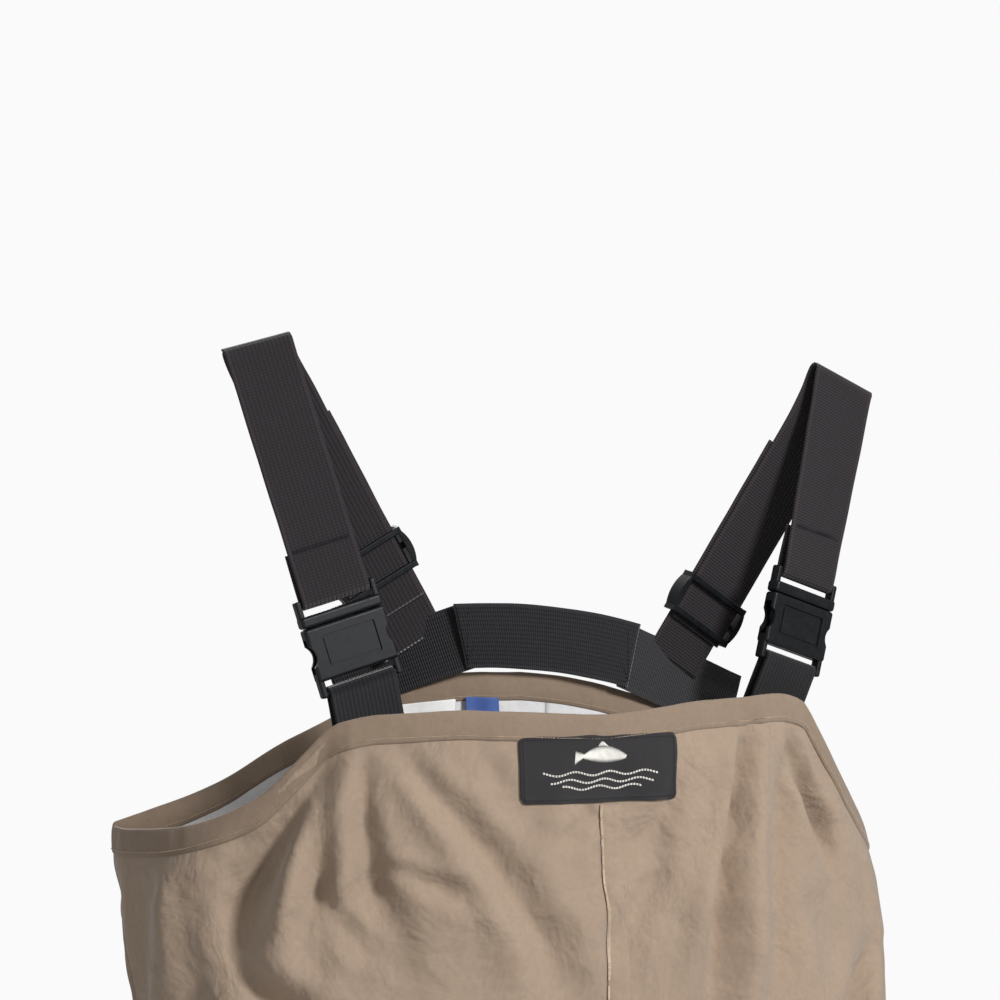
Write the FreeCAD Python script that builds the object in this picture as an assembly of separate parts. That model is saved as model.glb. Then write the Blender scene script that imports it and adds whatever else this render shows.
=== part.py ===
"""Stocking-foot chest waders, hanging by their elastic suspenders, as separate closed solids.

Millimetres. +Z is up, the front of the waders faces -Y and the wearer's right side is at -X.
The origin is midway between the two shoulder bends, where a hanger or a pair of shoulders
carries the waders. Every sub-part is written to parts/NODE.step.
"""

import FreeCAD, Part
import math
import os

from FreeCAD import Vector

# ---- driving dimensions -------------------------------------------------------------------
WEB = 50.0              # webbing width
WEB_T = 1.8             # webbing thickness
CLOTH_T = 2.0           # wall of the garment solids
HEM_T = 3.6             # wall of the turned top hem
HEM_H = 20.0            # height of the turned top hem
WAIST_Z = -640.0        # middle of the wading belt
CROTCH_Z = -880.0
KNEE_Z = -1180.0
BOOTIE_TOP_Z = -1470.0
LEG_X = 152.0           # a leg's axis, at the shin
SEAM_GAP = 0.3          # clearance between solids that belong to different bodies

# Trunk sections: height, half width, Y of the side folds, Y of the front centre,
# Y of the back centre, fullness of the back (1 is a shallow bow, 0.5 is a half ellipse).
TRUNK = [
    (-190.0, 276.0, 128.0, -66.0, 13.0, 1.00),
    (-250.0, 279.0, 127.0, -74.0, 15.0, 1.00),
    (-325.0, 284.0, 118.0, -86.0, 24.0, 1.00),
    (-410.0, 290.0, 80.0, -102.0, 42.0, 1.00),
    (-520.0, 284.0, 44.0, -108.0, 64.0, 0.60),
    (WAIST_Z + 34, 262.0, 16.0, -100.0, 86.0, 0.50),
    (WAIST_Z - 34, 262.0, 16.0, -100.0, 86.0, 0.50),
    (-760.0, 268.0, 4.0, -98.0, 90.0, 0.50),
    (CROTCH_Z, 262.0, 0.0, -85.0, 80.0, 0.50),
]

# Leg sections: height, distance of the axis from X = 0, half width, Y of front and back, squareness.
LEG = [
    (CROTCH_Z - 4, 132.0, 130.0, -84.0, 79.0, 3.0),
    (-960.0, 140.0, 127.0, -79.0, 74.0, 2.5),
    (-1070.0, 148.0, 117.0, -72.0, 66.0, 2.3),
    (KNEE_Z, LEG_X, 108.0, -67.0, 60.0, 2.2),
    (-1290.0, LEG_X, 102.0, -60.0, 61.0, 2.2),
    (-1390.0, LEG_X, 94.0, -57.0, 58.0, 2.2),
    (BOOTIE_TOP_Z, LEG_X, 84.0, -54.0, 54.0, 2.2),
]

# Top edge seen from the front, as X and Z, from the wearer's right side seam to the left one.
RIM_FRONT = [(-296, -326), (-262, -317), (-226, -297), (-196, -266), (-176, -246), (-150, -240),
             (-105, -239), (0, -242), (84, -235), (150, -233), (180, -239), (198, -260),
             (226, -298), (262, -332), (298, -352)]
RIM_BACK = [(-296, -326), (-262, -312), (-221, -294), (-176, -263), (-110, -230), (-59, -216),
            (0, -219), (68, -233), (120, -250), (180, -280), (230, -312), (262, -334), (298, -352)]

# Suspenders: the shoulder bend, the webbing's width direction there, and the foot of the front run.
SHOULDER = {"left": Vector(-220, 0, 6), "right": Vector(231, 0, -12)}
BEND_WIDTH = {"left": Vector(0.966, 0, 0.26), "right": Vector(0.905, 0, -0.425)}
FRONT_FOOT = {"left": Vector(-146, -26, -247), "right": Vector(169, -24, -234)}
FRONT_WIDTH = {"left": Vector(0.97, 0.0, 0.242), "right": Vector(0.93, 0.25, -0.29)}
BUCKLE_MOUTH = {"left": 0.72, "right": 0.71}    # share of the front run above the buckle's mouth
REAR_FOOT = {"left": Vector(-104, 17, -190), "right": Vector(112, 21, -207)}
REAR_WIDTH = {"left": Vector(0.86, -0.06, 0.51), "right": Vector(0.84, 0.22, -0.49)}
SLIDER_SHARE = {"left": 0.76, "right": 0.84}    # share of the rear run above the slider
BEND_R = 3.4            # inside radius of the webbing over a hanger bar
LAYER_GAP = 0.4         # between the two layers of a rear strap
LAYER_SHIFT = {"left": -2.0, "right": 2.0}      # sideways step between a rear strap's two layers
TAB_INSIDE = 16.0       # how far behind the front run a tab's sewn end lies

# Back band: middle of its two ends, and the far ends of the two sewn-on pieces.
BAND_W = 46.0
BAND_END = {"left": Vector(-68, 6, -191), "right": Vector(66, 6, -207)}
BAND_RISE = 5.0
PIECE_END = {"left": Vector(-150, 41, -223), "right": Vector(166, 44, -247)}


# Buckles
BUCKLE_W = 60.0
BUCKLE_T = 11.0
SOCKET_L = 37.0         # closed part of the socket
CAVITY_W = 52.0
CAVITY_T = 6.0
CAVITY_L = 31.0
BAR_R = 2.6
PLUG_L = 8.0            # solid part of the plug, outside the socket
PRONG_L = 26.0
PRONG_X = 18.4          # distance of a prong's hinge from the middle
MOUTH_L = 7.0           # closed ring at the socket's mouth
SLOT_L = 6.0            # webbing slot between body and bar
BAR_ROOM = 0.3          # between a bar and the webbing that turns round it

# Legs, belt and labels
GUSSET_W = 60.0
GUARD_TOP_Z = -1385.0
GUARD_FOOT_Z = -1562.0
BELT_CLEAR = 1.6        # between the trunk and the belt
LABEL_W = 118.0
LABEL_H = 46.0
LABEL_Z = -279.0

# Foot sections: Y and Z of the middle, tilt from the horizontal in degrees, half width, half depth.
FOOT = [
    (0.0, BOOTIE_TOP_Z - 0.1, 0.0, 83.0, 53.0),
    (1.0, -1530.0, 4.0, 68.0, 56.0),
    (0.0, -1590.0, 14.0, 58.0, 62.0),
    (-14.0, -1636.0, 38.0, 52.0, 66.0),
    (-56.0, -1668.0, 62.0, 50.0, 46.0),
    (-112.0, -1696.0, 66.0, 52.0, 38.0),
    (-168.0, -1722.0, 68.0, 50.0, 28.0),
    (-204.0, -1739.0, 70.0, 38.0, 20.0),
    (-218.0, -1746.0, 70.0, 20.0, 11.0),
]
NEOPRENE_T = 4.0
SOLE_DROP = 19.0        # degrees that the sole points below the horizontal
SOLE_T = 5.0
SOLE_POINT = Vector(0, -96, -1722)     # a point on the top of the sole


def unit(v):
    """A copy of v with length 1."""
    return Vector(v).normalize()


def save(name, shape):
    """Writes a node's solids to its STEP file."""
    if not shape.isValid():
        print("INVALID", name)
    if shape.Volume <= 0 or not shape.Solids:
        print("NO SOLID", name)
    shape.exportStep(os.path.join("parts", name + ".step"))


def compound(shapes):
    """Separate solids of one node."""
    return Part.makeCompound([solid for shape in shapes for solid in shape.Solids])


def outline(points):
    """A closed wire of straight edges through points."""
    return Part.makePolygon(list(points) + [points[0]])


def between(stations, z):
    """A section's values at height z, by straight interpolation between its stations."""
    for high, low in zip(stations, stations[1:]):
        if z >= low[0]:
            share = min(1.0, (high[0] - z) / (high[0] - low[0]))
            return [a + (b - a) * share for a, b in zip(high, low)]
    return list(stations[-1])


# ---- garment panels -------------------------------------------------------------------------
def trunk_point(z, u, back, grow=0.0):
    """A point on the trunk at height z. u runs from -1 to 1 across it; grow moves it outwards."""
    _, half, y_side, y_front, y_back, fullness = between(TRUNK, z)
    slope = max(0.0, 2 * (y_side - y_back) / half)
    y_side += grow * (slope + math.hypot(1.0, slope))
    half += grow
    if back:
        y = y_side + (y_back + grow - y_side) * (1 - abs(u) ** 2) ** fullness
    else:
        y = y_side + (y_front - grow - y_side) * (1 - abs(u) ** 2.2) ** (1 / 2.2)
    return Vector(half * u, y, z)


def leg_point(z, u, back, side, grow=0.0):
    """A point on a leg at height z. side is -1 or 1, and u runs across the leg."""
    _, axis, half, y_front, y_back, square = between(LEG, z)
    reach = (y_back if back else y_front) + (grow if back else -grow)
    return Vector(side * axis + (half + grow) * u, reach * (1 - abs(u) ** square) ** (1 / square), z)


def shares(u0, u1, steps=6):
    """Places across a panel, closer together towards the folds at -1 and 1."""
    a0, a1 = math.asin(u0), math.asin(u1)
    return [math.sin(a0 + (a1 - a0) * i / steps) for i in range(steps + 1)]


def c_section(point, u0, u1, outer, inner):
    """A thin closed wire: the outer line, an end, the inner line and an end."""
    places = shares(u0, u1, max(6, round(4 * abs(math.asin(u1) - math.asin(u0)))))
    out = [point(u, outer) for u in places]
    back = [point(u, inner) for u in reversed(places)]
    return outline(out + back)


def panel(point_at, heights, u0, u1, outer=0.0, inner=-CLOTH_T):
    """A cloth panel lofted through the C-shaped sections at the given heights."""
    wires = [c_section(lambda u, grow, z=z: point_at(z, u, grow), u0, u1, outer, inner) for z in heights]
    return Part.makeLoft(wires, True, True)


def offset_line(points, distance):
    """The line through points, moved to its right-hand side by distance."""
    moved = []
    for i, (x, z) in enumerate(points):
        ax, az = points[max(0, i - 1)]
        bx, bz = points[min(len(points) - 1, i + 1)]
        length = math.hypot(bx - ax, bz - az)
        moved.append((x + (bz - az) / length * distance, z - (bx - ax) / length * distance))
    return moved


def curtain(line, other, y0=-400.0, y1=400.0):
    """A solid that fills the strip between two lines in the XZ plane, for any Y."""
    corners = [Vector(x, y0, z) for x, z in list(line) + list(reversed(other))]
    return Part.Face(outline(corners)).extrude(Vector(0, y1 - y0, 0))


def stretched(line, reach=60.0):
    """The line with its two ends carried on sideways."""
    return [(line[0][0] - reach, line[0][1] - 4)] + list(line) + [(line[-1][0] + reach, line[-1][1] - 4)]


def trunk_panels():
    """Front and back halves of the trunk, cut off at the foot of the top hem."""
    upper = [row[0] for row in TRUNK]
    for back, rim, face in ((False, RIM_FRONT, "front"), (True, RIM_BACK, "back")):
        foot = stretched(offset_line(rim, HEM_H + 0.1))
        sky = [(x, 200.0) for x, _ in foot]
        above = curtain(foot, sky)
        for side, u0, u1 in (("left", -1.0, 0.0), ("right", 0.0, 1.0)):
            whole = panel(lambda z, u, grow, b=back: trunk_point(z, u, b, grow), upper, u0, u1)
            save(f"{face}_panel_{side}", whole.cut(above))


def top_hems():
    """The turned hem round the top opening, front and back."""
    heights = [-190.0, -250.0, -325.0, -410.0]
    for back, rim, face in ((False, RIM_FRONT, "front"), (True, RIM_BACK, "back")):
        strip = curtain(stretched(rim), stretched(offset_line(rim, HEM_H)))
        point = lambda z, u, grow, b=back: trunk_point(z, u, b, grow)
        extra = (HEM_T - CLOTH_T) / 2
        halves = [panel(point, heights, u0, u1, extra, -CLOTH_T - extra) for u0, u1 in ((-1, 0), (0, 1))]
        save(f"{face}_top_hem", halves[0].common(strip).fuse(halves[1].common(strip)).removeSplitter())


def legs():
    """Thigh and shin panels, front and back, and the crotch gusset."""
    thigh = [row[0] for row in LEG if row[0] >= KNEE_Z]
    shin = [row[0] for row in LEG if row[0] <= KNEE_Z]
    shin[0] -= 0.1
    for side, sign in (("left", -1), ("right", 1)):
        for part, heights in (("thigh", thigh), ("shin", shin)):
            for face, back in (("front", False), ("back", True)):
                point = lambda z, u, grow, b=back, s=sign: leg_point(z, u, b, s, grow)
                save(f"{side}_{part}_{face}", panel(point, heights, -1.0, 1.0))
    save("crotch_gusset", Part.makeBox(GUSSET_W, 160, CLOTH_T, Vector(-GUSSET_W / 2, -80, CROTCH_Z - 3)))


def gravel_guard(side, sign):
    """The cuff over the ankle, sewn to the leg at its top, and the elastic in its foot."""
    foot = GUARD_FOOT_Z

    def wall(z, u, back, grow):
        """A point of the cuff, which flares towards its foot."""
        flare = 3.0 + 9.0 * (GUARD_TOP_Z - z) / (GUARD_TOP_Z - foot)
        point = leg_point(max(z, BOOTIE_TOP_Z), u, back, sign, flare + grow)
        return Vector(point.x, point.y, z)

    def ring(heights, outer, inner):
        """The two halves of the cuff between heights, as one solid."""
        halves = [panel(lambda z, u, grow, b=b: wall(z, u, b, grow), heights, -1, 1, outer, inner)
                  for b in (False, True)]
        return halves[0].fuse(halves[1]).removeSplitter()

    save(f"{side}_gravel_guard", ring([GUARD_TOP_Z, -1440.0, -1500.0, foot + 14.1], CLOTH_T, 0.0))
    save(f"{side}_guard_elastic", ring([foot + 14.0, foot + 7.0, foot], CLOTH_T - 1, -2.2))
    hook_y = wall(foot, 0.0, False, 2.0).y - 1.2
    plate = Part.makeBox(12, 1.2, 16, Vector(sign * LEG_X - 6, hook_y - 0.2, foot + 2))
    middle = Vector(sign * LEG_X, hook_y - 0.6, foot - 2)
    hook = Part.makeTorus(5.0, 1.3, middle, Vector(1, 0, 0), 0, 360, 180)
    hook.rotate(middle, Vector(1, 0, 0), 180)
    save(f"{side}_lace_hook", plate.fuse(hook).removeSplitter())


# ---- booties ----------------------------------------------------------------------------------

def foot_wire(section, shift, sign):
    """One closed section of the bootie."""
    y, z, tilt, half, depth = section
    tilt = math.radians(tilt)
    points = []
    for i in range(16):
        a = 2 * math.pi * i / 16
        across = (half + shift) * math.copysign(abs(math.cos(a)) ** 0.9, math.cos(a))
        along = (depth + shift) * math.copysign(abs(math.sin(a)) ** 0.9, math.sin(a))
        points.append(Vector(sign * LEG_X + across, y + along * math.cos(tilt), z - along * math.sin(tilt)))
    return outline(points)


def booties():
    """Neoprene sock of each leg, and its denser flat sole."""
    for side, sign in (("left", -1), ("right", 1)):
        outer = Part.makeLoft([foot_wire(s, 0.0, sign) for s in FOOT], True, True)
        inner = Part.makeLoft([foot_wire(s, -NEOPRENE_T, sign) for s in FOOT[:-1]], True, True)
        under = Part.makeBox(400, 600, 300, Vector(-200, -300, -300))
        slab = Part.makeBox(400, 600, SOLE_T, Vector(-200, -300, -SOLE_T))
        for shape in (under, slab):
            shape.rotate(Vector(0, 0, 0), Vector(1, 0, 0), SOLE_DROP)
            shape.translate(Vector(sign * LEG_X, SOLE_POINT.y, SOLE_POINT.z))
        save(f"{side}_bootie", outer.cut(inner).cut(under))
        save(f"{side}_bootie_sole", outer.common(slab))


# ---- webbing ------------------------------------------------------------------------------------
def frame_normal(direction, width):
    """Unit width and outward normal of webbing that runs along direction."""
    d = unit(direction)
    w = unit(Vector(width) - d * Vector(width).dot(d))
    return w, unit(w.cross(d))


def ribbon(stations, thickness=WEB_T, width=WEB):
    """Webbing lofted through stations of middle, width direction and normal."""
    wires = []
    for middle, across, normal in stations:
        w, n = unit(across) * (width / 2), unit(normal) * (thickness / 2)
        corners = [middle - w - n, middle + w - n, middle + w + n, middle - w + n]
        wires.append(Part.makePolygon(corners + corners[:1]))
    return Part.makeLoft(wires, True, True)


def turn(centre, across, start, radius, angle, steps):
    """Stations round a bend: start is the unit vector from the centre, turned about across."""
    found = []
    for i in range(steps + 1):
        spin = FreeCAD.Rotation(unit(across), angle * i / steps)
        out = spin.multVec(start)
        found.append((centre + out * radius, across, out))
    return found


def front_frame(side):
    """Foot, head, width direction and outward normal of a front strap's straight run."""
    foot = FRONT_FOOT[side]
    head = SHOULDER[side] + Vector(0, -BEND_R - WEB_T / 2, 0)
    across, normal = frame_normal(head - foot, FRONT_WIDTH[side])
    if normal.y > 0:
        normal = normal * -1
    return foot, head, across, normal


def buckle_place(side):
    """Mouth centre, upward direction, width direction and outward normal of a shoulder buckle."""
    foot, head, across, normal = front_frame(side)
    return head + (foot - head) * BUCKLE_MOUTH[side], unit(head - foot), across, normal


def placed(shape, origin, across, along, normal):
    """Moves a shape from buckle axes (X across, Y along, Z outward) to where the buckle sits."""
    m = FreeCAD.Matrix(across.x, along.x, normal.x, origin.x,
                       across.y, along.y, normal.y, origin.y,
                       across.z, along.z, normal.z, origin.z,
                       0, 0, 0, 1)
    moved = shape.copy()
    moved.transformShape(m)
    return moved


def rounded(shape, radius, keep):
    """The shape with the edges that keep() picks rounded, or as it was if that can't be made."""
    edges = [e for e in shape.Edges if keep(e)]
    try:
        done = shape.makeFillet(radius, edges)
        return done if done.isValid() else shape
    except Part.OCCError:
        return shape


def outer_edges(half_w, half_t, y0, y1):
    """Picks the edges on the outside of a block of that size."""
    def pick(edge):
        c = edge.CenterOfMass
        outside = abs(abs(c.x) - half_w) < 0.01 or abs(abs(c.z) - half_t) < 0.01
        ends = abs(c.y - y0) < 0.01 or abs(c.y - y1) < 0.01
        return outside and (abs(abs(c.x) - half_w) < 0.01 or ends)
    return pick


def socket():
    """Socket half of a side-release buckle. The mouth is at Y = 0 and the webbing bar below."""
    end = -SOCKET_L - SLOT_L - 2 * BAR_R
    body = Part.makeBox(BUCKLE_W, SOCKET_L, BUCKLE_T, Vector(-BUCKLE_W / 2, -SOCKET_L, -BUCKLE_T / 2))
    body = rounded(body, 2.2, outer_edges(BUCKLE_W / 2, BUCKLE_T / 2, -SOCKET_L, 0))
    cavity = Part.makeBox(CAVITY_W, CAVITY_L + 1, CAVITY_T, Vector(-CAVITY_W / 2, -CAVITY_L, -CAVITY_T / 2))
    window_l = CAVITY_L - MOUTH_L
    side_slot = Part.makeBox(BUCKLE_W + 2, window_l, CAVITY_T,
                             Vector(-BUCKLE_W / 2 - 1, -CAVITY_L, -CAVITY_T / 2))
    grip = Part.makeCylinder(9.0, BUCKLE_T + 2, Vector(0, 0, -BUCKLE_T / 2 - 1))
    grips = []
    for sign in (-1, 1):
        scoop = grip.copy()
        scoop.translate(Vector(sign * (BUCKLE_W / 2 + 5.0), -CAVITY_L / 2 - MOUTH_L / 2, 0))
        grips.append(scoop)
    recess = Part.makeBox(40, 22, 1.1, Vector(-20, -SOCKET_L + 8, BUCKLE_T / 2 - 1.0))
    recess = rounded(recess, 1.5, lambda e: abs(e.Length - 1.1) < 0.01)
    pad = Part.makeBox(36.4, 18.4, 0.7, Vector(-18.2, -SOCKET_L + 9.8, BUCKLE_T / 2 - 1.0))
    body = body.cut(compound([cavity, side_slot, recess] + grips)).fuse(pad)
    arms = []
    for sign in (-1, 1):
        arm = Part.makeBox(4.2, -end - SOCKET_L + 4, BUCKLE_T - 3.4,
                           Vector(sign * (BUCKLE_W / 2 - 2.1) - 2.1, end, -BUCKLE_T / 2 + 1.7))
        arms.append(rounded(arm, 1.4, lambda e: abs(e.CenterOfMass.y - end) < 0.01
                            or abs(e.Length - (-end - SOCKET_L + 4)) < 0.01))
    bar = Part.makeCylinder(BAR_R, BUCKLE_W - 6, Vector(-BUCKLE_W / 2 + 3, end + BAR_R, 0), Vector(1, 0, 0))
    return body.multiFuse(arms + [bar]).removeSplitter()


def plug():
    """Plug half without its two prongs. Its shoulder meets the mouth and its bar is above."""
    top = PLUG_L + SLOT_L + 2 * BAR_R
    block = Part.makeBox(BUCKLE_W, PLUG_L, BUCKLE_T, Vector(-BUCKLE_W / 2, SEAM_GAP, -BUCKLE_T / 2))
    block = rounded(block, 2.2, outer_edges(BUCKLE_W / 2, BUCKLE_T / 2, SEAM_GAP, PLUG_L + SEAM_GAP))
    pockets = []
    for sign in (-1, 1):
        pocket = Part.makeBox(9.2, 6.5, 5.8, Vector(sign * PRONG_X - 4.6, SEAM_GAP - 1, -2.9))
        pockets.append(pocket)
    tongue = Part.makeBox(17, 25, 4.4, Vector(-8.5, -24, -2.2))
    tongue = rounded(tongue, 1.6, lambda e: abs(e.CenterOfMass.y + 24) < 0.01)
    tongue = tongue.cut(Part.makeBox(7, 15, 6, Vector(-3.5, -20, -3)))
    arms = []
    for sign in (-1, 1):
        arm = Part.makeBox(4.2, top - PLUG_L + 3, BUCKLE_T - 3.4,
                           Vector(sign * (BUCKLE_W / 2 - 2.1) - 2.1, PLUG_L - 3 + SEAM_GAP,
                                -BUCKLE_T / 2 + 1.7))
        arms.append(rounded(arm, 1.4, lambda e: abs(e.CenterOfMass.y - top - SEAM_GAP) < 0.01
                            or abs(e.Length - (top - PLUG_L + 3)) < 0.01))
    bar_end = Vector(-BUCKLE_W / 2 + 3, top - BAR_R + SEAM_GAP, 0)
    bar = Part.makeCylinder(BAR_R, BUCKLE_W - 6, bar_end, Vector(1, 0, 0))
    return block.cut(compound(pockets)).multiFuse([tongue, bar] + arms).removeSplitter()


def prong(sign):
    """One springing prong of a plug: a round root, an arm and the pad that a finger presses."""
    root_y = SEAM_GAP + 2.6
    root = Part.makeCylinder(2.3, 4.6, Vector(sign * PRONG_X, root_y, -2.3))
    arm = Part.makeBox(3.6, PRONG_L - 4, 4.6, Vector(sign * PRONG_X - 1.8, root_y - PRONG_L + 4, -2.3))
    outline = [(PRONG_X - 1.8, -9.5), (PRONG_X + 1.8, -8.0), (PRONG_X + 7.3, -9.5), (PRONG_X + 6.6, -19.0),
               (PRONG_X + 2.6, -PRONG_L), (PRONG_X - 1.8, -PRONG_L - 1.5)]
    points = [Vector(sign * x, y, -2.3) for x, y in outline]
    pad = Part.Face(Part.makePolygon(points + points[:1])).extrude(Vector(0, 0, 4.6))
    return root.fuse(arm).fuse(pad).removeSplitter()


def slider():
    """Three-bar slider: two bars in front of the webbing, one behind it, and rounded side rails."""
    inner, rail, length, depth = 54.5, 4.6, 31.0, 11.6
    rails = []
    for sign in (-1, 1):
        mid = sign * (inner / 2 + rail)
        start, end = Vector(sign * inner / 2, -length / 2, 0), Vector(sign * inner / 2, length / 2, 0)
        bow = Part.Wire([Part.Arc(start, Vector(mid, 0, 0), end).toShape(), Part.makeLine(end, start)])
        solid = Part.Face(bow).extrude(Vector(0, 0, depth))
        solid.translate(Vector(0, 0, -depth / 2))
        corner = Vector(sign * (inner / 2 + 1.0) - 1.0, -length / 2, -depth / 2)
        block = Part.makeBox(2.0, length, depth, corner)
        rails.append(solid.fuse(block).removeSplitter())
    bars = []
    for y, z in ((-length / 2 + 2.4, 1), (length / 2 - 2.4, 1), (0, -1)):
        low = depth / 2 - 3.0 if z > 0 else -depth / 2
        bar = Part.makeBox(inner + 2, 4.8, 3.0, Vector(-inner / 2 - 1, y - 2.4, low))
        bars.append(rounded(bar, 1.2, lambda e: abs(e.Length - inner - 2) < 0.01))
    return rails[0].multiFuse(rails[1:] + bars).removeSplitter()


def buckles():
    """Shoulder buckles with their prongs, and the belt buckle."""
    places = {side: buckle_place(side) for side in ("left", "right")}
    places["belt"] = belt_buckle_place()
    for name, (mouth, along, across, normal) in places.items():
        prefix = name if name == "belt" else name + "_shoulder"
        if across.cross(along).dot(normal) < 0:
            across = across * -1
        move = lambda shape: placed(shape, mouth, across, along, normal)
        save(f"{prefix}_buckle_socket", move(socket()))
        save(f"{prefix}_buckle_plug", move(plug()))
        for label, sign in (("a", -1), ("b", 1)):
            save(f"{prefix}_buckle_prong_{label}", move(prong(sign)))


def front_straps():
    """Elastic webbing from the plug's bar to the shoulder bend, and the short tab under the socket."""
    for side in ("left", "right"):
        mouth, along, across, normal = buckle_place(side)
        head = front_frame(side)[1]
        bar = mouth + along * (PLUG_L + SLOT_L + BAR_R + SEAM_GAP)
        r = BAR_R + BAR_ROOM + WEB_T / 2
        bend = SHOULDER[side]
        bend_across = BEND_WIDTH[side]
        tail = bar + along * 34
        start = [(tail - normal * r, across, normal * -1), (bar - normal * r, across, normal * -1)]
        loop = turn(bar, across, normal * -1, r, spin_sign(across, normal * -1, along * -1) * 180, 8)[1:]
        run = [(bar + normal * r + (head - bar - normal * r) * t, mixed(across, bend_across, t),
                mixed(normal, Vector(0, -1, 0), t)) for t in (0.3, 0.6, 0.85)]
        top = turn(bend, bend_across, unit(Vector(0, -1, 0)), BEND_R + WEB_T / 2,
                   spin_sign(bend_across, Vector(0, -1, 0), Vector(0, 0, 1)) * 90, 5)
        save(f"{side}_front_strap", ribbon(start + loop + run + top))
        low = mouth - along * (SOCKET_L + SLOT_L + BAR_R)
        foot = front_frame(side)[0] - along * 40
        inside = foot + Vector(0, TAB_INSIDE, 0)
        down = [(inside + (low + normal * r - inside) * t, across, normal) for t in (0.0, 0.5, 1.0)]
        loop = turn(low, across, normal, r, spin_sign(across, normal, along) * 180, 8)[1:]
        back = low - normal * r
        up = [(back + (inside - normal * (2 * r) - back) * t, across, normal * -1) for t in (0.5, 0.8)]
        save(f"{side}_buckle_tab", ribbon(down + loop + up))


def mixed(a, b, t):
    """A unit vector between two."""
    return unit(Vector(a) * (1 - t) + Vector(b) * t)


def spin_sign(axis, start, towards):
    """1 if turning start about axis by the right-hand rule heads towards a direction, or -1."""
    return 1 if Vector(axis).cross(Vector(start)).dot(Vector(towards)) > 0 else -1


def rear_frame(side):
    """Foot, head, width direction and normal towards the front of a rear strap's straight run."""
    head = SHOULDER[side] + Vector(0, BEND_R + WEB_T / 2, 0)
    foot = REAR_FOOT[side]
    across, normal = frame_normal(head - foot, REAR_WIDTH[side])
    return foot, head, across, normal if normal.y < 0 else normal * -1


def rear_straps():
    """The back half of each suspender: main layer, return layer and the slider on both."""
    for side in ("left", "right"):
        foot, head, across, normal = rear_frame(side)
        bend_across = BEND_WIDTH[side]
        top = turn(SHOULDER[side], bend_across, Vector(0, 0, 1), BEND_R + WEB_T / 2,
                   spin_sign(bend_across, Vector(0, 0, 1), Vector(0, 1, 0)) * 90, 5)
        straight_top = foot + (head - foot) * 0.80
        main = top + [(foot + (head - foot) * t, mixed(across, bend_across, max(0, t - 0.8) / 0.2),
                       mixed(normal * -1, Vector(0, 1, 0), max(0, t - 0.8) / 0.2)) for t in (0.93, 0.80)]
        end = foot + (head - foot) * 0.08
        main += [((straight_top + end) * 0.5, across, normal * -1), (end, across, normal * -1)]
        save(f"{side}_rear_strap", ribbon(main))
        shift = normal * -(WEB_T + LAYER_GAP) - across * LAYER_SHIFT[side]
        lane = [(foot + (head - foot) * t + shift, across, normal * -1) for t in (0.72, 0.4, -0.04)]
        save(f"{side}_rear_strap_return", ribbon(lane))
        centre = foot + (head - foot) * (1 - SLIDER_SHARE[side]) + shift * 0.5
        along = unit(head - foot)
        across_r = across if across.cross(along).dot(normal) > 0 else across * -1
        save(f"{side}_slider", placed(slider(), centre, across_r, along, normal))



def back_band():
    """The band across the back and the two pieces that carry it down to the back hem."""
    left, right = BAND_END["left"], BAND_END["right"]
    stations = []
    for i in range(7):
        t = i / 6
        lean = (t - 0.5) * 2
        middle = left + (right - left) * t + Vector(0, -3 * (1 - lean ** 2), BAND_RISE * (1 - lean ** 2))
        stations.append((middle, Vector(0.23 * lean, 0, 1), Vector(0, -1, 0)))
    save("back_band", ribbon(stations, WEB_T, BAND_W))
    for side, sign in (("left", -1), ("right", 1)):
        start = BAND_END[side] + Vector(sign * -6, 2.4, 0)
        end = PIECE_END[side]
        run = unit(end - start)
        height, normal = frame_normal(run, Vector(0, 0, 1))
        stations = [(start + (end - start) * t, height, normal) for t in (0.0, 0.5, 1.0)]
        save(f"{side}_band_anchor", ribbon(stations, WEB_T, BAND_W))


# ---- belt ------------------------------------------------------------------------------------------

def belt_point(u, back, grow):
    """A point just outside the trunk at the waist."""
    return trunk_point(WAIST_Z, u, back, BELT_CLEAR + grow)


def belt_buckle_place():
    """Mouth centre and axes of the belt buckle, which opens towards +X."""
    y = belt_point(0.0, False, BUCKLE_T / 2 + 0.8).y
    return Vector(4, y, WAIST_Z), Vector(1, 0, 0), Vector(0, 0, 1), Vector(0, -1, 0)


def belt_arc(us, back):
    """A stretch of belt that lies on the trunk."""
    return belt_block(us, back, WEB / 2, WEB_T, 0.0)


def belt_loop_end(sign, bar_x, inner_runs, outer_runs):
    """Webbing that comes in behind a buckle bar, turns round it and goes back over the outside.

    Each run is a distance from the bar and a height above the webbing's place on the trunk.
    """
    mouth = belt_buckle_place()[0]
    up, r = Vector(0, 0, 1), BAR_R + BAR_ROOM + WEB_T / 2
    bar = Vector(bar_x, mouth.y, WAIST_Z)
    half = belt_point(1.0, False, 0).x
    inner = []
    for reach, lift in inner_runs:
        x = bar_x + sign * reach
        y = belt_point(x / half, False, WEB_T / 2 + lift).y
        inner.append((Vector(x, y, WAIST_Z), up, Vector(0, 1, 0)))
    inner.append((bar + Vector(0, r, 0), up, Vector(0, 1, 0)))
    bend = turn(bar, up, Vector(0, 1, 0), r, 180 * sign, 8)[1:]
    outer = []
    for reach, lift in outer_runs:
        x = bar_x + sign * reach
        y = belt_point(x / half, False, WEB_T * 1.5 + lift).y
        outer.append((Vector(x, y, WAIST_Z), up, Vector(0, -1, 0)))
    return ribbon(inner + bend + outer)


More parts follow.
